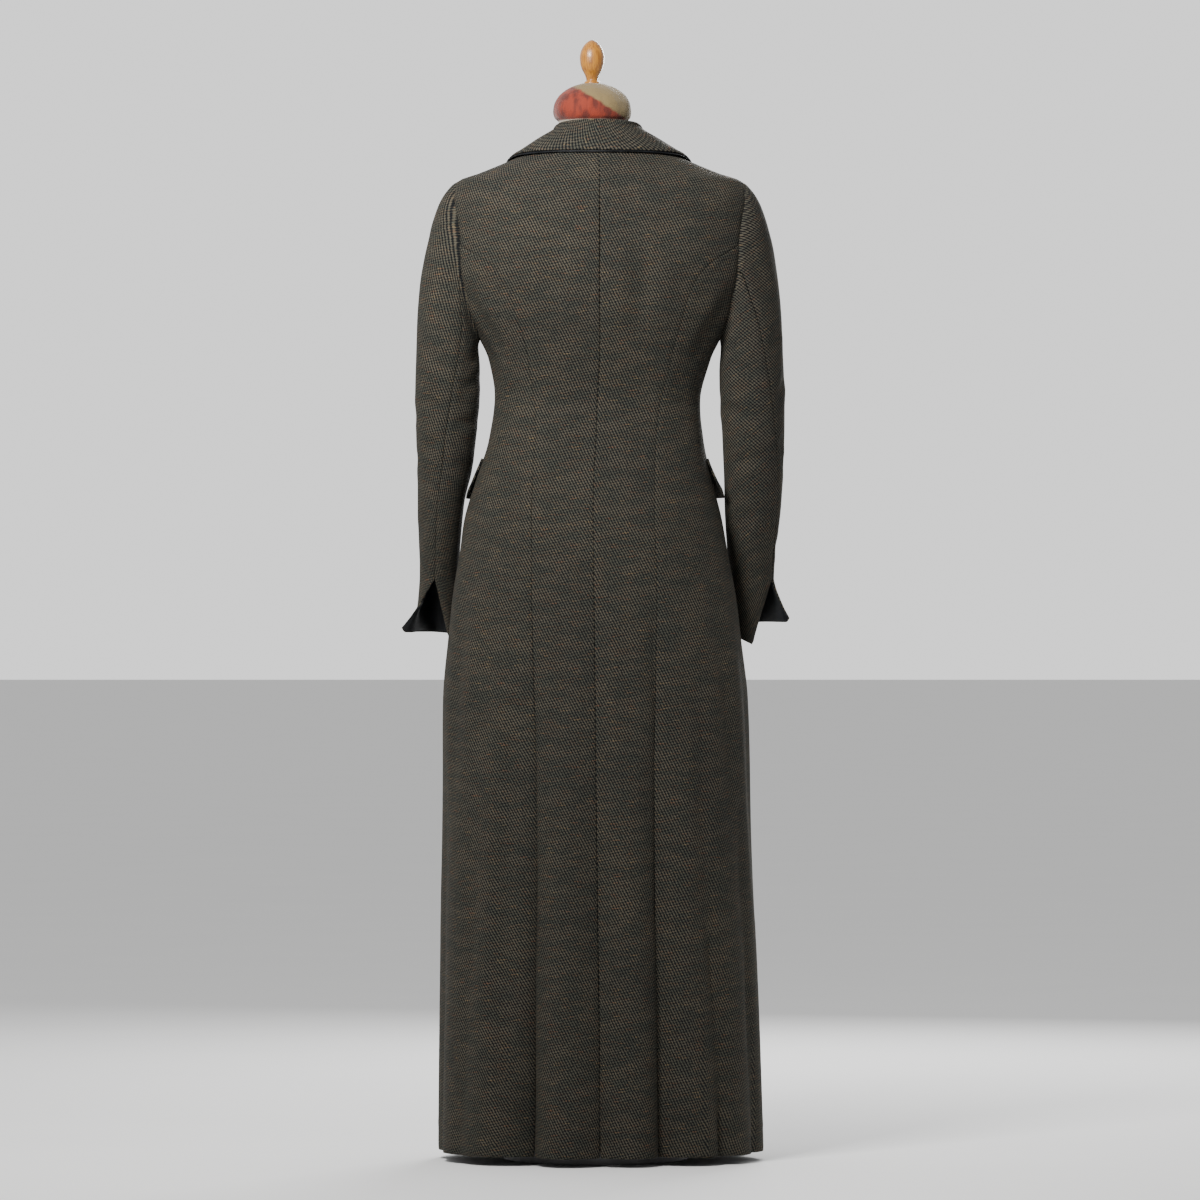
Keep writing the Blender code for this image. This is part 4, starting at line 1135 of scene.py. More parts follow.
    def make(self, tailor: Tailor, tweed: Material, satin: Material) -> None:
        """Lay both sleeves and their facings."""
        inset = self.seam_inset
        for side in Side:
            upper = self.piece(side, "upper", -1.0 + inset, -inset, self.upper_columns, 9.0 + side.value)
            under = self.piece(side, "under", inset, 1.0 - inset, self.under_columns, 11.0 + side.value)
            tailor.lay(upper, tweed)
            tailor.lay(under, tweed)
            tailor.lay(self.facing(side), satin)


SLEEVE_CREASES = {
    Side.LEFT: {
        "upper": (
            Crease((0.10, 2.0), (0.16, 6.4), 0.010, 0.0018),
            Crease((0.06, 9.4), (0.42, 8.6), 0.009, 0.0020, 0.05),
            Crease((0.02, 10.4), (0.38, 10.0), 0.008, 0.0024, 0.04),
            Crease((0.04, 11.2), (0.34, 11.5), 0.009, 0.0020, -0.03),
            Crease((0.55, 10.6), (0.92, 10.1), 0.009, 0.0018),
            Crease((0.52, 11.6), (0.88, 12.0), 0.009, 0.0016),
            Crease((0.12, 13.2), (0.50, 13.9), 0.010, 0.0014),
            Crease((0.60, 4.5), (0.85, 6.8), 0.012, 0.0014),
        ),
        "under": (
            Crease((0.94, 9.9), (0.60, 9.2), 0.009, 0.0020),
            Crease((0.96, 10.8), (0.56, 10.6), 0.008, 0.0022),
            Crease((0.90, 11.8), (0.58, 12.2), 0.009, 0.0018),
            Crease((0.30, 10.2), (0.55, 9.8), 0.009, 0.0018),
            Crease((0.75, 7.0), (0.82, 9.0), 0.011, 0.0022),
        ),
    },
    Side.RIGHT: {
        "upper": (
            Crease((0.12, 2.2), (0.20, 6.8), 0.010, 0.0020),
            Crease((0.05, 9.0), (0.36, 8.2), 0.010, 0.0018, 0.04),
            Crease((0.04, 10.1), (0.44, 9.5), 0.009, 0.0022, 0.05),
            Crease((0.08, 11.4), (0.40, 11.1), 0.009, 0.0022, -0.03),
            Crease((0.55, 10.2), (0.90, 9.7), 0.009, 0.0018),
            Crease((0.50, 11.8), (0.86, 12.3), 0.009, 0.0015),
            Crease((0.10, 14.0), (0.46, 14.5), 0.010, 0.0014),
            Crease((0.62, 4.2), (0.86, 6.4), 0.012, 0.0014),
        ),
        "under": (
            Crease((0.95, 9.5), (0.62, 8.9), 0.009, 0.0018),
            Crease((0.92, 10.6), (0.50, 10.3), 0.009, 0.0024),
            Crease((0.94, 11.6), (0.60, 11.9), 0.009, 0.0018),
            Crease((0.28, 10.4), (0.52, 10.0), 0.009, 0.0018),
            Crease((0.72, 7.2), (0.80, 9.2), 0.011, 0.0022),
            Crease((0.80, 13.0), (0.55, 14.2), 0.010, 0.0014),
        ),
    },
}


@dataclass(frozen=True)
class CollarRow:
    """One place along the collar's right half, from the centre back to the front."""

    along: float
    fold_x: float
    fold_y: float
    fold_z: float
    tip_x: float
    tip_y: float
    tip_z: float
    edge_angle: float
    edge_height: float
    foot_x: float
    foot_y: float
    foot_z: float


COLLAR = (
    CollarRow(0.00, 0.0000, -0.0607, 1.4500, 0.00, 0.00, 1.00, 0.0, 1.4035, 0.0000, -0.0628, 1.4134),
    CollarRow(0.20, 0.0294, -0.0536, 1.4497, -0.03, 0.05, 1.00, 28.0, 1.4030, 0.0365, -0.0550, 1.4145),
    CollarRow(0.40, 0.0507, -0.0323, 1.4480, -0.12, 0.06, 0.99, 60.0, 1.4010, 0.0660, -0.0300, 1.4162),
    CollarRow(0.55, 0.0572, -0.0040, 1.4445, -0.30, 0.00, 0.95, 90.0, 1.3980, 0.0743, -0.0005, 1.4180),
    CollarRow(0.75, 0.0600, 0.0265, 1.4320, -0.60, -0.05, 0.80, 118.0, 1.3860, 0.0660, 0.0242, 1.4182),
    CollarRow(0.88, 0.0570, 0.0552, 1.4015, -0.80, -0.05, 0.60, 134.0, 1.3740, 0.0621, 0.0535, 1.3935),
    CollarRow(1.00, 0.0483, 0.0708, 1.3758, -0.92, -0.06, 0.31, 148.0, 1.3590, 0.0577, 0.0684, 1.3711),
)


@dataclass
class Collar:
    """The folded collar and the dark under collar that shows below its edge."""

    shape: BodyShape
    lift: float = 0.0068
    fold_half: float = 0.0037
    fold_drop: float = 0.0072
    fold_shoulder: float = 0.0024
    fold_round: float = 0.8
    leaf_thirds: tuple[float, float] = (0.33, 0.67)
    along_step: float = 0.02
    stand_row: float = 2.0
    turn_row: float = 6.0
    leaf_row: float = 7.0
    edge_row: float = 8.6
    last_row: float = 9.0
    stand_rows: int = 8
    turn_rows: int = 24
    leaf_rows: int = 21
    under_rows: int = 7
    columns: int = 150
    peep: float = 0.0025
    length: float = 0.42
    grain_lean: float = 0.4
    leaf_wall: float = 0.0020
    leaf_drift: float = 0.0005
    under_wall: float = 0.0010

    def __post_init__(self) -> None:
        """Turn the rows into curves."""
        self.lines = curves_of(COLLAR, "along")

    def path(self, along: np.ndarray, depth: float) -> np.ndarray:
        """Points of the collar from the stand's foot over the fold to the edge.

        Args:
            along: place along the collar, -1 at the left front and 1 at the right front.
            depth: how far under the collar's visible face.

        Returns:
            An array of ten points for each place.
        """
        side = np.where(along < 0.0, -1.0, 1.0)
        share = np.abs(along)

        def spot(name: str, place: np.ndarray) -> np.ndarray:
            """One of the table's points."""
            return np.stack([self.lines[name + axis](place) for axis in ("_x", "_y", "_z")], axis=-1)

        fold, tip, foot = spot("fold", share), unit(spot("tip", share)), spot("foot", share)
        angle = side * np.radians(self.lines["edge_angle"](share))
        edge = self.shape.point(angle, self.lines["edge_height"](share), -self.lift)
        edge[..., 0] = (edge[..., 0] - self.shape.lines["middle"](edge[..., 2])) * side
        onward = spot("fold", share + self.along_step) - spot("fold", share - self.along_step)
        out = unit(np.cross(onward, tip))
        inner = fold - tip * self.fold_drop - out * self.fold_half
        outer = fold - tip * self.fold_drop + out * self.fold_half
        near = fold - tip * self.fold_shoulder - out * self.fold_half * self.fold_round
        far = fold - tip * self.fold_shoulder + out * self.fold_half * self.fold_round
        stand_in = unit(np.cross(foot - inner, onward))
        leaf_in = unit(np.cross(outer - edge, onward))
        upper, lower = (outer + (edge - outer) * third for third in self.leaf_thirds)
        path = (
            (foot, stand_in),
            ((foot + inner) / 2.0, stand_in),
            (inner, unit(stand_in + out)),
            (near, unit(out - tip)),
            (fold, -tip),
            (far, unit(-out - tip)),
            (outer, unit(leaf_in - out)),
            (upper, leaf_in),
            (lower, leaf_in),
            (edge, leaf_in),
        )
        spots = np.stack([place + inward * depth for place, inward in path])
        spots[..., 0] = side * spots[..., 0] + self.shape.lines["middle"](spots[..., 2])
        return spots

    def point(self, along: np.ndarray, row: np.ndarray, depth: float) -> np.ndarray:
        """Points of the collar at a place along it and a row of its path."""
        path = self.path(along, depth)
        last = len(path) - 2
        start = np.clip(np.floor(row).astype(int), 0, last)
        pick = np.arange(path.shape[1])
        t = (row - start)[..., None]
        before = path[np.maximum(start - 1, 0), pick]
        first, second = path[start, pick], path[start + 1, pick]
        after = path[np.minimum(start + 2, last + 1), pick]
        leave, arrive = (second - before) / 2.0, (after - first) / 2.0
        swing = leave * (t * (1.0 - t) ** 2) - arrive * (t * t * (1.0 - t))
        within = first + (second - first) * ease(t) + swing
        return np.where(t > 1.0, second + (second - first) * (t - 1.0), within)

    def leaf(self, across: np.ndarray, up: np.ndarray) -> np.ndarray:
        """Points of the collar's visible face."""
        return self.point(2.0 * across - 1.0, up, 0.0)

    def under(self, across: np.ndarray, up: np.ndarray) -> np.ndarray:
        """Points of the under collar, a little past the collar's edge."""
        along = 2.0 * across - 1.0
        path = self.path(along, 0.0)
        peep = self.peep / np.linalg.norm(path[-1] - path[-2], axis=-1)
        return self.point(along, up + peep * (up >= self.last_row), self.shape.wall + self.shape.gap)

    def leaf_away(self, across: np.ndarray, up: np.ndarray) -> np.ndarray:
        """Level directions away from the axis on the turned-down leaf alone."""
        return self.leaf(across, up) * LEVEL * (up >= self.turn_row)[..., None]

    def grain(self, across: np.ndarray, up: np.ndarray) -> np.ndarray:
        """Distance along the collar and up its face, which the threads follow."""
        spots = self.leaf(across, up)
        climb = spots[..., 2] - self.grain_lean * spots[..., 1]
        return np.stack([(across - 0.5) * self.length, climb], axis=-1)

    def make(self, tailor: Tailor, tweed: Material, satin: Material) -> None:
        """Lay the collar and its under collar."""
        rows = stations((0.0, self.stand_row, self.stand_rows),
                        (self.stand_row, self.turn_row, self.turn_rows),
                        (self.turn_row, self.last_row, self.leaf_rows))
        under_rows = stations((self.leaf_row, self.edge_row, self.under_rows),
                              (self.edge_row, self.last_row, 1))
        columns = np.linspace(0.0, 1.0, self.columns + 1)
        backs = ("back_left", "back_right")
        leaf = Cut("collar", columns, rows, self.leaf, self.leaf_away, self.grain, creases=COLLAR_CREASES,
                   edges=(TURNED, TURNED, PLAIN, TURNED), wall=self.leaf_wall, drift=self.leaf_drift,
                   seed=13.0, held=Held.FOLDED, rests_on=backs)
        under = Cut("under_collar", columns, under_rows, self.under, radial(self.under),
                    wall=self.under_wall, drift=0.0, seed=14.0, rests_on=backs)
        tailor.lay(leaf, tweed)
        tailor.lay(under, satin)


COLLAR_CREASES = (
    Crease((0.40, 7.2), (0.44, 8.8), 0.008, 0.0007),
    Crease((0.61, 7.0), (0.58, 8.7), 0.008, 0.0008),
    Crease((0.72, 7.2), (0.76, 8.6), 0.007, 0.0008),
    Crease((0.27, 7.1), (0.24, 8.6), 0.007, 0.0007),
)


@dataclass(frozen=True)
class Turned:
    """One level of a turned shape."""

    height: float
    radius: float


NECK = (
    Turned(1.4083, 0.0470), Turned(1.4250, 0.0465), Turned(1.4400, 0.0460), Turned(1.4490, 0.0475),
    Turned(1.4560, 0.0530), Turned(1.4640, 0.0545), Turned(1.4730, 0.0535), Turned(1.4841, 0.0480),
    Turned(1.4925, 0.0390), Turned(1.4990, 0.0270), Turned(1.5030, 0.0145),
)
FINIAL = (
    Turned(1.5033, 0.0108), Turned(1.5050, 0.0108), Turned(1.5075, 0.0080), Turned(1.5130, 0.0092),
    Turned(1.5240, 0.0145), Turned(1.5330, 0.0168), Turned(1.5400, 0.0172), Turned(1.5480, 0.0158),
    Turned(1.5560, 0.0118), Turned(1.5615, 0.0065), Turned(1.5640, 0.0022),
)


@dataclass
class DressForm:
    """The limbless form: its covered torso, neck with a cloth cap and turned finial, and its stand."""

    shape: BodyShape
    dome_x: float = -0.0055
    neck_y: float = -0.0040
    lean_from: float = 1.4083
    lean_to: float = 1.4640
    cap_foot: float = 1.440
    cap_blend: float = 0.02
    cap_folds: float = 0.0007
    folds_round: int = 5
    folds_lean: float = 40.0
    folds_level: float = 1.45
    fine_share: float = 0.6
    fine_round: int = 9
    fine_lean: float = 95.0
    least_radius: float = 0.02
    neck_steps: tuple[int, int] = (96, 60)
    finial_steps: tuple[int, int] = (64, 64)
    sharp: float = math.radians(50.0)
    torso_steps: tuple[int, int] = (96, 90)
    torso_bottom: float = 0.800
    torso_top: float = 1.4080
    drop: float = 0.0032
    slack: float = 0.0075
    slack_blend: float = 0.06
    least_slack: float = 0.0012
    tuck: float = 0.030
    tuck_top: float = 0.850
    tuck_blend: float = 0.050
    shoulder: float = 0.188
    weld: float = 0.00002

    def soft_folds(self, turn: float, height: float) -> float:
        """Height of the cap cloth's soft folds, about from -1.6 to 1.6."""
        broad = math.sin(self.folds_round * turn + self.folds_lean * (height - self.folds_level))
        return broad + self.fine_share * math.sin(self.fine_round * turn - self.fine_lean * height)

    def turned(self, name: str, node: str, rows: Sequence[Turned], steps: tuple[int, int],
               folds: float, material: Material) -> None:
        """Build a turned shape, spun from its profile, which leans and may carry soft folds.

        Args:
            name: name of the new piece.
            node: name of the solid that it stands for.
            rows: levels of the profile.
            steps: steps round the axis and up the profile.
            folds: depth of the soft folds of its cloth in metres.
            material: its finish.
        """
        around, levels = steps
        mesh = bmesh.new()
        heights = np.linspace(rows[0].height, rows[-1].height, levels)
        radii = curves_of(rows, "height")["radius"](heights)
        places = zip(radii, heights)
        profile = [mesh.verts.new((float(radius), 0.0, float(height))) for radius, height in places]
        edges = [mesh.edges.new(pair) for pair in zip(profile, profile[1:])]
        bmesh.ops.spin(mesh, geom=profile + edges, cent=(0.0, 0.0, 0.0), axis=(0.0, 0.0, 1.0),
                       dvec=(0.0, 0.0, 0.0), angle=FULL_TURN, steps=around, use_merge=True,
                       use_duplicate=False)
        closed(mesh)
        for corner in mesh.verts:
            x, y, height = corner.co
            lean = float(ease((height - self.lean_from) / (self.lean_to - self.lean_from)))
            rise = float(ease((height - self.cap_foot) / self.cap_blend))
            fold = folds * self.soft_folds(math.atan2(y, x), height) * rise
            swell = 1.0 + fold / max(math.hypot(x, y), self.least_radius)
            corner.co.x = x * swell + self.dome_x * lean
            corner.co.y = y * swell + self.neck_y
        piece = new_piece(name, mesh, material, self.sharp)
        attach(piece, "root")
        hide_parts(node)

    def torso(self, linen: Material) -> None:
        """Build the padded torso under its linen cover."""
        shape = self.shape
        around, tall = self.torso_steps
        mesh = bmesh.new()
        bmesh.ops.create_grid(mesh, x_segments=around, y_segments=tall, size=0.5)
        flat = np.array([corner.co[:] for corner in mesh.verts])
        angle = (flat[:, 0] + 0.5) * FULL_TURN
        height = self.torso_bottom + (flat[:, 1] + 0.5) * (self.torso_top - self.torso_bottom)
        level = height + self.drop
        bend = 2.0 / shape.lines["power"](level)
        slack = self.slack * ease((shape.shoulder_tip - height) / self.slack_blend) + self.least_slack
        slack = slack + self.tuck * ease((self.tuck_top - height) / self.tuck_blend)
        width = shape.lines["half_width"](level) - slack
        width = np.where(height < shape.shoulder_tip, np.minimum(width, self.shoulder), width)
        front = shape.lines["front"](level) - shape.wall - 2.0 * shape.gap
        reach = np.where(np.cos(angle) > 0.0, shape.lines["back"](level), front) - shape.wall - slack
        x = np.sign(np.sin(angle)) * width * np.abs(np.sin(angle)) ** bend + shape.lines["middle"](level)
        y = -np.sign(np.cos(angle)) * reach * np.abs(np.cos(angle)) ** bend
        for corner, spot in zip(mesh.verts, np.stack([x, y, height], axis=1)):
            corner.co = spot
        bmesh.ops.remove_doubles(mesh, verts=mesh.verts[:], dist=self.weld)
        closed(mesh)
        piece = new_piece("torso_cover", mesh, linen, self.sharp)
        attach(piece, "root")
        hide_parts("form_torso")

    def make(self, linen: Material, cap: Material, wood: Material, steel: Material) -> None:
        """Build and dress the form and its stand."""
        self.torso(linen)
        self.turned("neck_cap", "form_neck_cap", NECK, self.neck_steps, self.cap_folds, cap)
        self.turned("finial", "form_finial", FINIAL, self.finial_steps, 0.0, wood)
        for name in ("form_pole", "form_base"):
            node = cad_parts[name]
            node.data.materials.clear()
            node.data.materials.append(steel)


@dataclass
class Buttons:
    """Four horn buttons down the centre front, sewn on with a crossed thread."""

    shape: BodyShape
    heights: tuple[float, ...] = (1.175, 1.075, 0.975, 0.875)
    radius: float = 0.0120
    thickness: float = 0.0042
    segments: int = 48
    rim_width: float = 0.0022
    well_slope: float = 0.0012
    well_depth: float = 0.0012
    edge_angle: float = 1.2
    edge_round: float = 0.0007
    thread_radius: float = 0.0007
    thread_length: float = 0.0062
    thread_segments: int = 10
    thread_sink: float = 0.0008
    thread_turns: tuple[float, float] = (math.radians(45.0), math.radians(-45.0))
    sharp: float = math.radians(40.0)

    def disc(self) -> bmesh.types.BMesh:
        """A button lying flat, with a sunk middle and a rounded rim."""
        mesh = bmesh.new()
        bmesh.ops.create_cone(mesh, cap_ends=True, segments=self.segments, radius1=self.radius,
                              radius2=self.radius, depth=self.thickness)
        top = max(mesh.faces, key=lambda face: face.calc_center_median().z)
        bmesh.ops.inset_region(mesh, faces=[top], thickness=self.rim_width, depth=0.0)
        bmesh.ops.inset_region(mesh, faces=[top], thickness=self.well_slope, depth=-self.well_depth)
        rim = [edge for edge in mesh.edges if edge.calc_face_angle(0.0) > self.edge_angle]
        bmesh.ops.bevel(mesh, geom=rim, offset=self.edge_round, segments=3, profile=0.5, affect="EDGES",
                        material=-1)
        return mesh

    def stitches(self) -> bmesh.types.BMesh:
        """Two crossed bars of thread over a button lying flat."""
        mesh = bmesh.new()
        for turn in self.thread_turns:
            bar = bmesh.ops.create_cone(mesh, cap_ends=True, segments=self.thread_segments,
                                        radius1=self.thread_radius, radius2=self.thread_radius,
                                        depth=self.thread_length)["verts"]
            bmesh.ops.rotate(mesh, verts=bar, matrix=Matrix.Rotation(math.pi / 2.0, 3, "Y"))
            bmesh.ops.rotate(mesh, verts=bar, matrix=Matrix.Rotation(turn, 3, "Z"))
            bmesh.ops.translate(mesh, verts=bar, vec=(0.0, 0.0, self.thickness / 2.0 - self.thread_sink))
        return mesh

    def make(self, horn: Material, thread: Material) -> None:
        """Build each button on its solid's place."""
        for number, height in enumerate(self.heights, start=1):
            node = f"button_{number}"
            low, high = (Vector(corner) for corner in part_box(node))
            outward = Vector(self.shape.outward(np.array(math.pi), np.array(height)))
            turn = outward.to_track_quat("Z", "Y").to_matrix().to_4x4()
            place = Matrix.Translation((low + high) / 2.0) @ turn
            disc, stitches = self.disc(), self.stitches()
            disc.transform(place)
            stitches.transform(place)
            button = new_piece(node + "_horn", disc, horn, self.sharp)
            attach(button, "root")
            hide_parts(node)
            sewn = new_piece(node + "_thread", stitches, thread, self.sharp)
            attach(sewn, "root")


class Signal:
    """A shader socket that takes part in arithmetic."""

    def __init__(self, graph: "Graph", socket: bpy.types.NodeSocket) -> None:
        """Wrap a socket of a node tree."""
        self.graph = graph
        self.socket = socket

    def math(self, operation: str, *values: Any) -> "Signal":
        """Add a Math node on one or two values."""
        return self.graph.node("Math", {"operation": operation}, dict(enumerate(values)))["Value"]

    def __add__(self, other: Any) -> "Signal":
        """Sum."""
        return self.math("ADD", self, other)

    def __radd__(self, other: Any) -> "Signal":
        """Sum with a number on the left."""
        return self.math("ADD", other, self)

    def __sub__(self, other: Any) -> "Signal":
        """Difference."""
        return self.math("SUBTRACT", self, other)

    def __rsub__(self, other: Any) -> "Signal":
        """Difference from a number on the left."""
        return self.math("SUBTRACT", other, self)

    def __mul__(self, other: Any) -> "Signal":
        """Product."""
        return self.math("MULTIPLY", self, other)

    def __rmul__(self, other: Any) -> "Signal":
        """Product with a number on the left."""
        return self.math("MULTIPLY", other, self)

    def wave(self, length: float) -> "Signal":
        """Wave from -1 to 1 that repeats each time the value grows by a length."""
        return (self * (FULL_TURN / length)).sine()

    def sine(self) -> "Signal":
        """Sine of an angle in radians."""
        return self.math("SINE", self)

    def between(self, low: float, high: float, start: float = 0.0, end: float = 1.0) -> "Signal":
        """Go smoothly from start to end while the value goes from low to high."""
        return self.graph.node("MapRange", {"interpolation_type": "SMOOTHSTEP", "clamp": True},
                               {"Value": self, "From Min": low, "From Max": high,
                                "To Min": start, "To Max": end})["Result"]

    def within(self, band: tuple[float, float] | None) -> "Signal":
        """Rise smoothly from 0 to 1 within a band, or stay as it is if there is none."""
        return self.between(*band) if band else self


class Outputs:
    """The outputs of one node as signals, by name."""

    def __init__(self, graph: "Graph", node: bpy.types.Node) -> None:
        """Keep the node."""
        self.graph = graph
        self.node = node

    def __getitem__(self, name: str) -> Signal:
        """The enabled output of that name."""
        return Signal(self.graph, named(self.node.outputs, name))


def named(sockets: Sequence[bpy.types.NodeSocket], name: str) -> bpy.types.NodeSocket:
    """The enabled socket of that name or identifier."""
    return next(socket for socket in sockets if socket.enabled and name in (socket.name, socket.identifier))


@dataclass(frozen=True)
class Speckle:
    """A noise pattern: how fine it is along each axis, and the band that its mask rises in."""

    scale: float
    detail: float
    stretch: Place | None = None
    band: tuple[float, float] | None = None
    roughness: float = 0.5


class Graph:
    """A node tree under construction."""

    def __init__(self, tree: bpy.types.NodeTree) -> None:
        """Keep the tree."""
        self.tree = tree

    def node(self, kind: str, settings: dict[str, Any], inputs: dict[Any, Any]) -> Outputs:
        """Add a node.

        Args:
            kind: the node's type without its ShaderNode prefix.
            settings: properties of the node, set first.
            inputs: values or signals by socket name or number.

        Returns:
            The node's outputs.
        """
        node = self.tree.nodes.new("ShaderNode" + kind)
        for name, value in settings.items():
            setattr(node, name, value)
        for name, value in inputs.items():
            self.feed(node.inputs[name] if isinstance(name, int) else named(node.inputs, name), value)
        return Outputs(self, node)

    def feed(self, socket: bpy.types.NodeSocket, value: Any) -> None:
        """Link a signal to a socket, or set its value."""
        if isinstance(value, Signal):
            self.tree.links.new(value.socket, socket)
        else:
            socket.default_value = value

    def coordinates(self, output: str = "Object") -> Signal:
        """One kind of texture coordinates."""
        return self.node("TexCoord", {}, {})[output]

    def parts(self, where: Signal) -> Outputs:
        """The parts X, Y and Z of coordinates."""
        return self.node("SeparateXYZ", {}, {"Vector": where})

    def noise(self, where: Signal, look: Speckle) -> Signal:
        """Noise from 0 to 1."""
        if look.stretch:
            where = self.node("Mapping", {}, {"Vector": where, "Scale": look.stretch})["Vector"]
        inputs = {"Vector": where, "Scale": look.scale, "Detail": look.detail, "Roughness": look.roughness}
        return self.node("TexNoise", {}, inputs)["Fac"]

    def mask(self, where: Signal, look: Speckle) -> Signal:
        """Noise that rises from 0 to 1 within its band."""
        return self.noise(where, look).within(look.band)

    def mix(self, share: Any, first: Any, second: Any, blend: str = "MIX") -> Signal:
        """Blend two colours."""
        inputs = {"Factor": share, "A": first, "B": second}
        return self.node("Mix", {"data_type": "RGBA", "blend_type": blend}, inputs)["Result"]


class Finish(Graph):
    """One material under construction."""

    def __init__(self, name: str) -> None:
        """Start a material with its Principled surface."""
        self.material = bpy.data.materials.new(name)
        self.material.use_nodes = True
        super().__init__(self.material.node_tree)
        self.surface = next(node for node in self.tree.nodes if node.type == "BSDF_PRINCIPLED")

    def cloth(self) -> Signal:
        """The cloth's own map, in metres."""
        return self.node("UVMap", {"uv_map": "cloth"}, {})["UV"]

    def set(self, **values: Any) -> None:
        """Set or link the surface's sockets, with _ for a space in their names."""
        for name, value in values.items():
            self.feed(self.surface.inputs[name.replace("_", " ")], value)

    def bump(self, height: Signal, distance: float) -> None:
        """Let a height in parts of a distance in metres shape the surface."""
        inputs = {"Height": height, "Distance": distance, "Strength": 1.0}
        self.set(Normal=self.node("Bump", {}, inputs)["Normal"])


@dataclass(frozen=True)
class TweedLook:
    """Diagonal tweed of an olive beige and a blue black yarn with small coloured slubs."""

    dark: Colour = (0.0032, 0.0040, 0.0052, 1.0)
    light: Colour = (0.073, 0.0655, 0.0485, 1.0)
    olive: Colour = (0.050, 0.0505, 0.039, 1.0)
    brown: Colour = (0.073, 0.0565, 0.039, 1.0)
    rust: Colour = (0.115, 0.052, 0.028, 1.0)
    straw: Colour = (0.150, 0.108, 0.055, 1.0)
    cool_shade: Colour = (0.92, 0.92, 0.93, 1.0)
    warm_shade: Colour = (1.06, 1.05, 1.03, 1.0)
    sheen_tint: Colour = (0.55, 0.50, 0.40, 1.0)
    period: float = 0.0042
    steepness: float = 1.95
    dot: float = 0.0039
    dot_lean: float = 0.0170
    wander_across: float = 0.0010
    wander_up: float = 0.0008
    bend_shift: float = 0.0009
    stripe_share: float = 0.46
    dot_share: float = 0.26
    grain_share: float = 1.8
    fibre_share: float = 0.9
    ground: float = 0.42
    brown_share: float = 0.85
    slub_share: float = 0.75
    yarn_relief: float = 0.60
    fibre_relief: float = 0.7
    slub_relief: float = 0.4
    grain_relief: float = 0.8
    relief: float = 0.00050
    wander: Speckle = Speckle(60.0, 1.0)
    bend: Speckle = Speckle(300.0, 1.0)
    grain: Speckle = Speckle(380.0, 2.0, (1.0, 1.4, 1.0), roughness=0.6)
    fibre: Speckle = Speckle(1400.0, 2.0, (1.0, 1.6, 1.0), roughness=0.6)
    patch: Speckle = Speckle(1.0, 3.0, (22.0, 60.0, 1.0), (0.38, 0.60))
    weft: Speckle = Speckle(1.0, 2.0, (24.0, 300.0, 1.0), (0.52, 0.66))
    streak: Speckle = Speckle(1.0, 1.0, (46.0, 480.0, 1.0), (0.600, 0.720))
    hue: Speckle = Speckle(1.0, 0.0, (60.0, 210.0, 1.0), (0.42, 0.60))
    broad: Speckle = Speckle(7.0, 2.0, None, (0.30, 0.70))

    def make(self, name: str) -> Material:
        """Build the cloth's material from its own UV map, which is in metres."""
        finish = Finish(name)
        cloth = finish.cloth()
        parts = finish.parts(cloth)
        wander = finish.noise(cloth, self.wander) - 0.5
        bend = finish.noise(cloth, self.bend) - 0.5
        u = parts["X"] + wander * self.wander_across + bend * self.bend_shift
        v = parts["Y"] + wander * self.wander_up - bend * self.bend_shift
        stripe = (u * (FULL_TURN / self.period) + v * (FULL_TURN / (self.period * self.steepness))).sine()
        dots = (v * (FULL_TURN / self.dot) - u * (FULL_TURN / self.dot_lean)).sine()
        grain = finish.noise(cloth, self.grain) - 0.5
        fibre = finish.noise(cloth, self.fibre) - 0.5
        yarn = stripe * self.stripe_share + dots * self.dot_share + grain * self.grain_share
        light = (yarn + fibre * self.fibre_share + self.ground).between(0.0, 1.0)
        tone = finish.mix(finish.mask(cloth, self.patch), self.light, self.olive)
        tone = finish.mix(finish.mask(cloth, self.weft) * self.brown_share, tone, self.brown)
        speck = finish.mask(cloth, self.streak)
        slub = finish.mix(finish.mask(cloth, self.hue), self.rust, self.straw)
        colour = finish.mix(speck * light * self.slub_share, finish.mix(light, self.dark, tone), slub)
        shade = finish.mix(finish.mask(cloth, self.broad), self.cool_shade, self.warm_shade)
        finish.set(Base_Color=finish.mix(1.0, colour, shade, "MULTIPLY"), Roughness=0.92, Sheen_Weight=0.03,
                   Sheen_Roughness=0.5, Sheen_Tint=self.sheen_tint, Specular_IOR_Level=0.15)
        height = light * self.yarn_relief + fibre * self.fibre_relief
        finish.bump(height + speck * self.slub_relief + grain * self.grain_relief, self.relief)
        return finish.material


@dataclass(frozen=True)
class SatinLook:
    """Black satin with a fine weft rib."""

    base: Colour = (0.0022, 0.0026, 0.0032, 1.0)
    lift: Colour = (0.0060, 0.0070, 0.0090, 1.0)
    sheen_tint: Colour = (0.50, 0.54, 0.60, 1.0)
    rib: float = 0.0011
    rib_relief: float = 0.25
    soft_relief: float = 0.9
    soft: Speckle = Speckle(46.0, 3.0, None, (0.35, 0.65))

    def make(self, name: str) -> Material:
        """Build the satin from its own UV map, which is in metres."""
        finish = Finish(name)
        cloth = finish.cloth()
        soft = finish.noise(cloth, self.soft)
        ribs = finish.parts(cloth)["Y"].wave(self.rib)
        finish.set(Base_Color=finish.mix(soft.within(self.soft.band), self.base, self.lift),
                   Roughness=0.46 + soft * 0.16, Sheen_Weight=0.03, Sheen_Roughness=0.30,
                   Sheen_Tint=self.sheen_tint, Specular_IOR_Level=0.22)
        finish.bump(ribs * self.rib_relief + soft * self.soft_relief, 0.0004)
        return finish.material


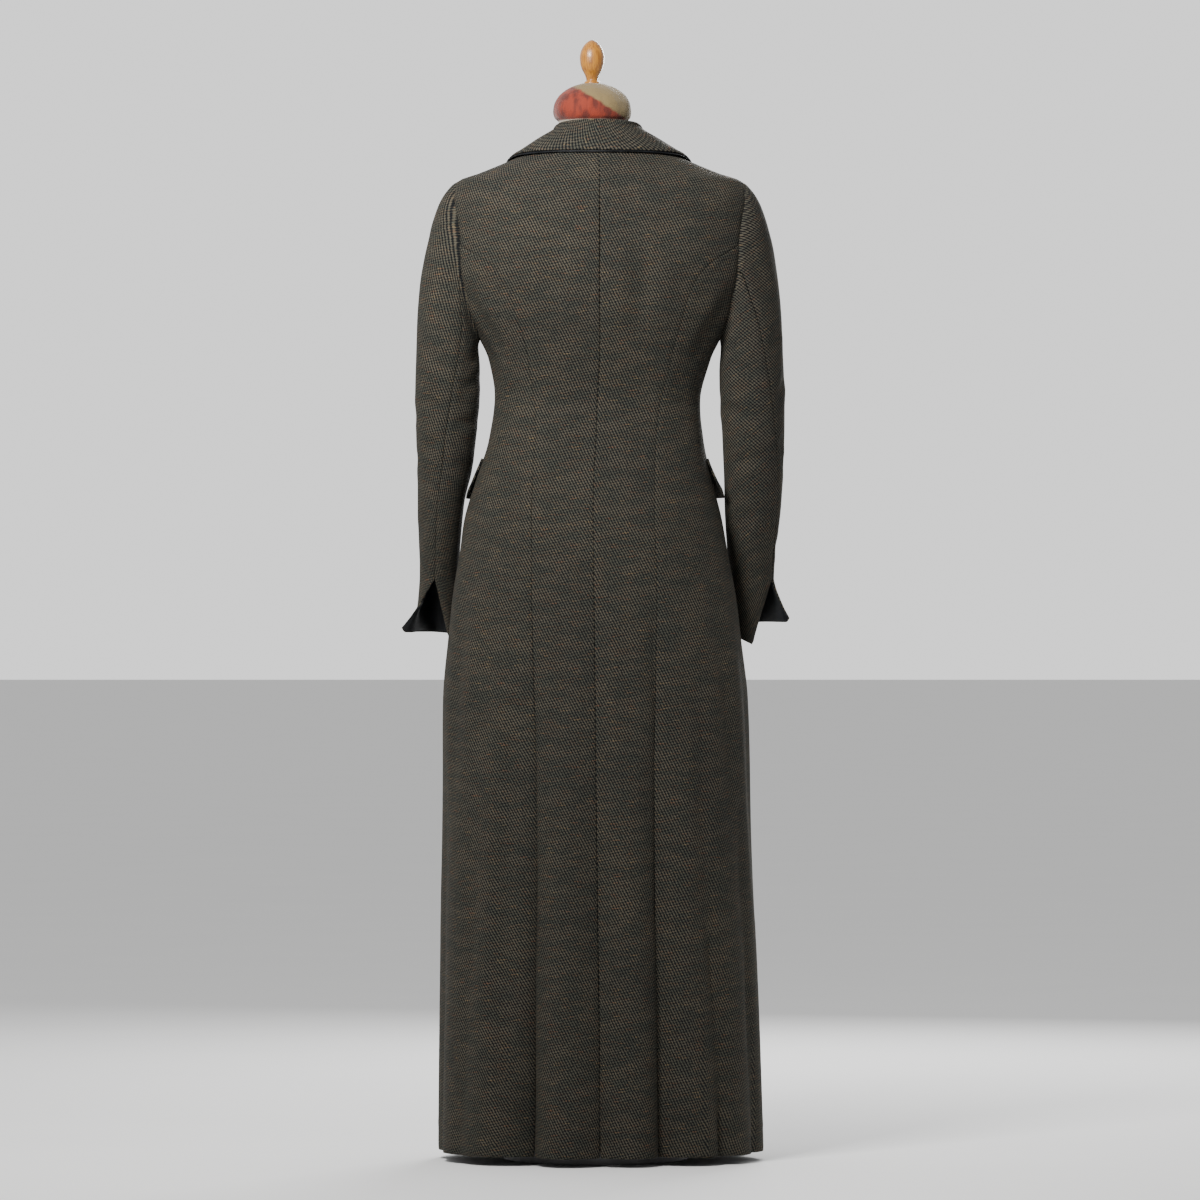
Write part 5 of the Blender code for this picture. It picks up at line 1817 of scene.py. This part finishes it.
@dataclass(frozen=True)
class LinenLook:
    """Plain beige linen of the form's cover."""

    base: Colour = (0.520, 0.455, 0.355, 1.0)
    deep: Colour = (0.390, 0.335, 0.255, 1.0)
    stain: Colour = (0.86, 0.83, 0.78, 1.0)
    thread: float = 0.0011
    weave_share: float = 0.45
    deep_band: tuple[float, float] = (0.15, 0.80)
    slub: Speckle = Speckle(1.0, 3.0, (30.0, 30.0, 260.0))
    broad: Speckle = Speckle(9.0, 3.0, None, (0.45, 0.75))

    def make(self, name: str) -> Material:
        """Build the linen on object coordinates."""
        finish = Finish(name)
        where = finish.coordinates()
        parts = finish.parts(where)
        turn = FULL_TURN / self.thread
        warp = (parts["X"] * turn + parts["Y"] * turn).sine()
        weave = parts["Z"].wave(self.thread) * warp * 0.5 + 0.5
        share = weave * self.weave_share + finish.noise(where, self.slub) * (1.0 - self.weave_share)
        colour = finish.mix(share.between(*self.deep_band), self.deep, self.base)
        stain = finish.mix(finish.mask(where, self.broad), WHITE, self.stain)
        finish.set(Base_Color=finish.mix(1.0, colour, stain, "MULTIPLY"), Roughness=0.85,
                   Sheen_Weight=0.15, Specular_IOR_Level=0.25)
        finish.bump(share, 0.0003)
        return finish.material


@dataclass(frozen=True)
class CapLook:
    """The neck cap: rust red cloth on one side, khaki tan on the other, over a linen neck."""

    red: Colour = (0.185, 0.024, 0.010, 1.0)
    # painted shade: a darker red for the hollows of the cap's crease relief
    deep_red: Colour = (0.080, 0.013, 0.008, 1.0)
    tan: Colour = (0.165, 0.118, 0.050, 1.0)
    linen: Colour = (0.500, 0.440, 0.345, 1.0)
    seam_slope: float = 0.62
    seam_height: float = 1.478
    seam_blend: float = 0.003
    seam_ragged: float = 0.010
    neck_ragged: float = 0.002
    weave_relief: float = 0.25
    neck_band: tuple[float, float] = (1.4495, 1.4520)
    ragged: Speckle = Speckle(90.0, 4.0)
    # this noise shapes the cap's crease relief and also masks the painted shade in its creases
    creased: Speckle = Speckle(1.6, 4.0, (60.0, 60.0, 25.0), (0.35, 0.62))
    weave: Speckle = Speckle(900.0, 2.0)

    def make(self, name: str) -> Material:
        """Build the cap on object coordinates."""
        finish = Finish(name)
        where = finish.coordinates()
        parts = finish.parts(where)
        ragged = finish.noise(where, self.ragged) - 0.5
        slope = parts["X"] * self.seam_slope + (parts["Z"] - self.seam_height)
        slope = slope + ragged * self.seam_ragged
        creased = finish.noise(where, self.creased)
        # painted shade: the red turns darker where the crease relief is low, in the hollows of the cap's
        # creases
        red = finish.mix(creased.within(self.creased.band), self.deep_red, self.red)
        cap = finish.mix(slope.between(-self.seam_blend, self.seam_blend), red, self.tan)
        neck = (parts["Z"] + ragged * self.neck_ragged).between(*self.neck_band)
        finish.set(Base_Color=finish.mix(neck, self.linen, cap), Roughness=0.80, Sheen_Weight=0.15,
                   Specular_IOR_Level=0.25)
        finish.bump(creased + finish.noise(where, self.weave) * self.weave_relief, 0.0016)
        return finish.material


@dataclass(frozen=True)
class WoodLook:
    """Turned and varnished light wood."""

    pale: Colour = (0.360, 0.148, 0.014, 1.0)
    dark: Colour = (0.200, 0.070, 0.008, 1.0)
    groove: float = 0.0016
    groove_relief: float = 0.10
    grain: Speckle = Speckle(1.0, 4.0, (420.0, 420.0, 26.0), (0.35, 0.70))

    def make(self, name: str) -> Material:
        """Build the wood on object coordinates."""
        finish = Finish(name)
        where = finish.coordinates()
        grain = finish.noise(where, self.grain)
        finish.set(Base_Color=finish.mix(grain.within(self.grain.band), self.pale, self.dark),
                   Roughness=0.30 + grain * 0.15, Coat_Weight=0.25, Coat_Roughness=0.15)
        grooves = finish.parts(where)["Z"].wave(self.groove)
        finish.bump(grain + grooves * self.groove_relief, 0.00025)
        return finish.material


@dataclass(frozen=True)
class FleckedLook:
    """A plain stuff of two close tones that follow one noise."""

    first: Colour
    second: Colour
    fleck: Speckle
    roughness: float
    roughness_gain: float
    relief: float
    metallic: float = 0.0

    def make(self, name: str) -> Material:
        """Build the material on object coordinates."""
        finish = Finish(name)
        fleck = finish.noise(finish.coordinates(), self.fleck)
        finish.set(Base_Color=finish.mix(fleck.within(self.fleck.band), self.first, self.second),
                   Roughness=self.roughness + fleck * self.roughness_gain, Metallic=self.metallic)
        finish.bump(fleck, self.relief)
        return finish.material


STEEL = FleckedLook((0.070, 0.070, 0.070, 1.0), (0.120, 0.120, 0.122, 1.0),
                    Speckle(1.0, 2.0, (900.0, 40.0, 900.0)), 0.30, 0.18, 0.00008, metallic=1.0)
HORN = FleckedLook((0.016, 0.012, 0.009, 1.0), (0.095, 0.060, 0.032, 1.0),
                   Speckle(1.0, 4.0, (160.0, 160.0, 420.0), (0.45, 0.75)), 0.28, 0.14, 0.0001)
THREAD = FleckedLook((0.020, 0.018, 0.015, 1.0), (0.050, 0.045, 0.036, 1.0),
                     Speckle(1600.0, 1.0), 0.7, 0.0, 0.0002)


@dataclass(frozen=True)
class Lamp:
    """One soft square light that points at a target."""

    name: str
    place: Place
    target: Place
    size: float
    power: float
    colour: Place


LAMPS = (
    Lamp("key", (-0.66, -1.40, 2.12), (0.0, 0.0, 1.70), 0.55, 75.5, (1.0, 0.99, 0.975)),
    Lamp("front fill", (0.7, 2.7, 1.9), (0.0, 0.0, 0.9), 1.2, 95.0, (1.0, 1.0, 1.0)),
)


@dataclass
class Studio:
    """The pale floor, the soft lights and the camera."""

    camera_x: float = 0.0056
    camera_z: float = 0.7806
    distance: float = 10.0
    view_width: float = 1.680
    view_depth: float = 200.0
    sensor: float = 36.0
    sky_front: float = 0.40
    sky_back: float = 1.25
    sky_band: tuple[float, float] = (-0.2, 0.7)
    floor_drop: float = 0.0005
    floor_half: float = 60.0
    floor_dark: Colour = (0.78, 0.78, 0.78, 1.0)
    floor_light: Colour = (0.81, 0.81, 0.805, 1.0)
    floor_noise: Speckle = Speckle(3.0, 2.0)

    def floor(self) -> None:
        """Lay a wide pale floor."""
        finish = Finish("studio_floor")
        soft = finish.noise(finish.coordinates(), self.floor_noise)
        finish.set(Base_Color=finish.mix(soft, self.floor_dark, self.floor_light), Roughness=0.9,
                   Specular_IOR_Level=0.1)
        mesh = bmesh.new()
        bmesh.ops.create_grid(mesh, x_segments=8, y_segments=8, size=self.floor_half)
        bmesh.ops.translate(mesh, verts=mesh.verts, vec=(0.0, 0.0, -self.floor_drop))
        new_piece("studio_floor", mesh, finish.material)

    def sky(self) -> None:
        """Light the scene from all sides, more strongly from the front of the coat."""
        world = bpy.data.worlds.new("studio")
        world.use_nodes = True
        graph = Graph(world.node_tree)
        depth = graph.parts(graph.coordinates("Generated"))["Y"]
        background = graph.tree.nodes["Background"]
        graph.feed(background.inputs["Color"], WHITE)
        strength = depth.between(*self.sky_band, self.sky_front, self.sky_back)
        graph.feed(background.inputs["Strength"], strength)
        bpy.context.scene.world = world

    def light(self, lamp: Lamp) -> None:
        """Hang one lamp."""
        data = bpy.data.lights.new(lamp.name, "AREA")
        data.shape = "RECTANGLE"
        data.size = lamp.size
        data.size_y = lamp.size
        data.energy = lamp.power
        data.color = lamp.colour
        piece = bpy.data.objects.new(lamp.name, data)
        piece.location = lamp.place
        piece.rotation_euler = (Vector(lamp.target) - Vector(lamp.place)).to_track_quat("-Z", "Y").to_euler()
        bpy.context.scene.collection.objects.link(piece)

    def make(self) -> None:
        """Set up the floor, the sky, the lamps and the camera."""
        self.floor()
        self.sky()
        for lamp in LAMPS:
            self.light(lamp)
        data = bpy.data.cameras.new("camera")
        data.lens = self.sensor * self.distance / self.view_width
        data.sensor_width = self.sensor
        data.clip_end = self.view_depth
        camera = bpy.data.objects.new("camera", data)
        camera.location = (self.camera_x, -self.distance, self.camera_z)
        camera.rotation_euler = (math.radians(90.0), 0.0, 0.0)
        bpy.context.scene.collection.objects.link(camera)
        bpy.context.scene.camera = camera


def main() -> None:
    """Build and dress the whole model."""
    logging.basicConfig(level=logging.INFO, format="%(name)s: %(message)s")
    Studio().make()
    tweed = TweedLook().make("tweed")
    satin = SatinLook().make("black_satin")
    shape = BodyShape()
    tailor = Tailor()
    CoatBody(shape).make(tailor, tweed)
    Sleeves(shape).make(tailor, tweed, satin)
    Collar(shape).make(tailor, tweed, satin)
    DressForm(shape).make(LinenLook().make("form_linen"), CapLook().make("cap_cloth"),
                          WoodLook().make("turned_wood"), STEEL.make("stand_steel"))
    Buttons(shape).make(HORN.make("horn"), THREAD.make("button_thread"))
    cloth = sum(area for _, _, area in tailor.flat_sizes.values())
    LOG.info("cloth in all: %.3f m2 in %d pieces", cloth, len(tailor.flat_sizes))


if __name__ == "__main__":
    main()
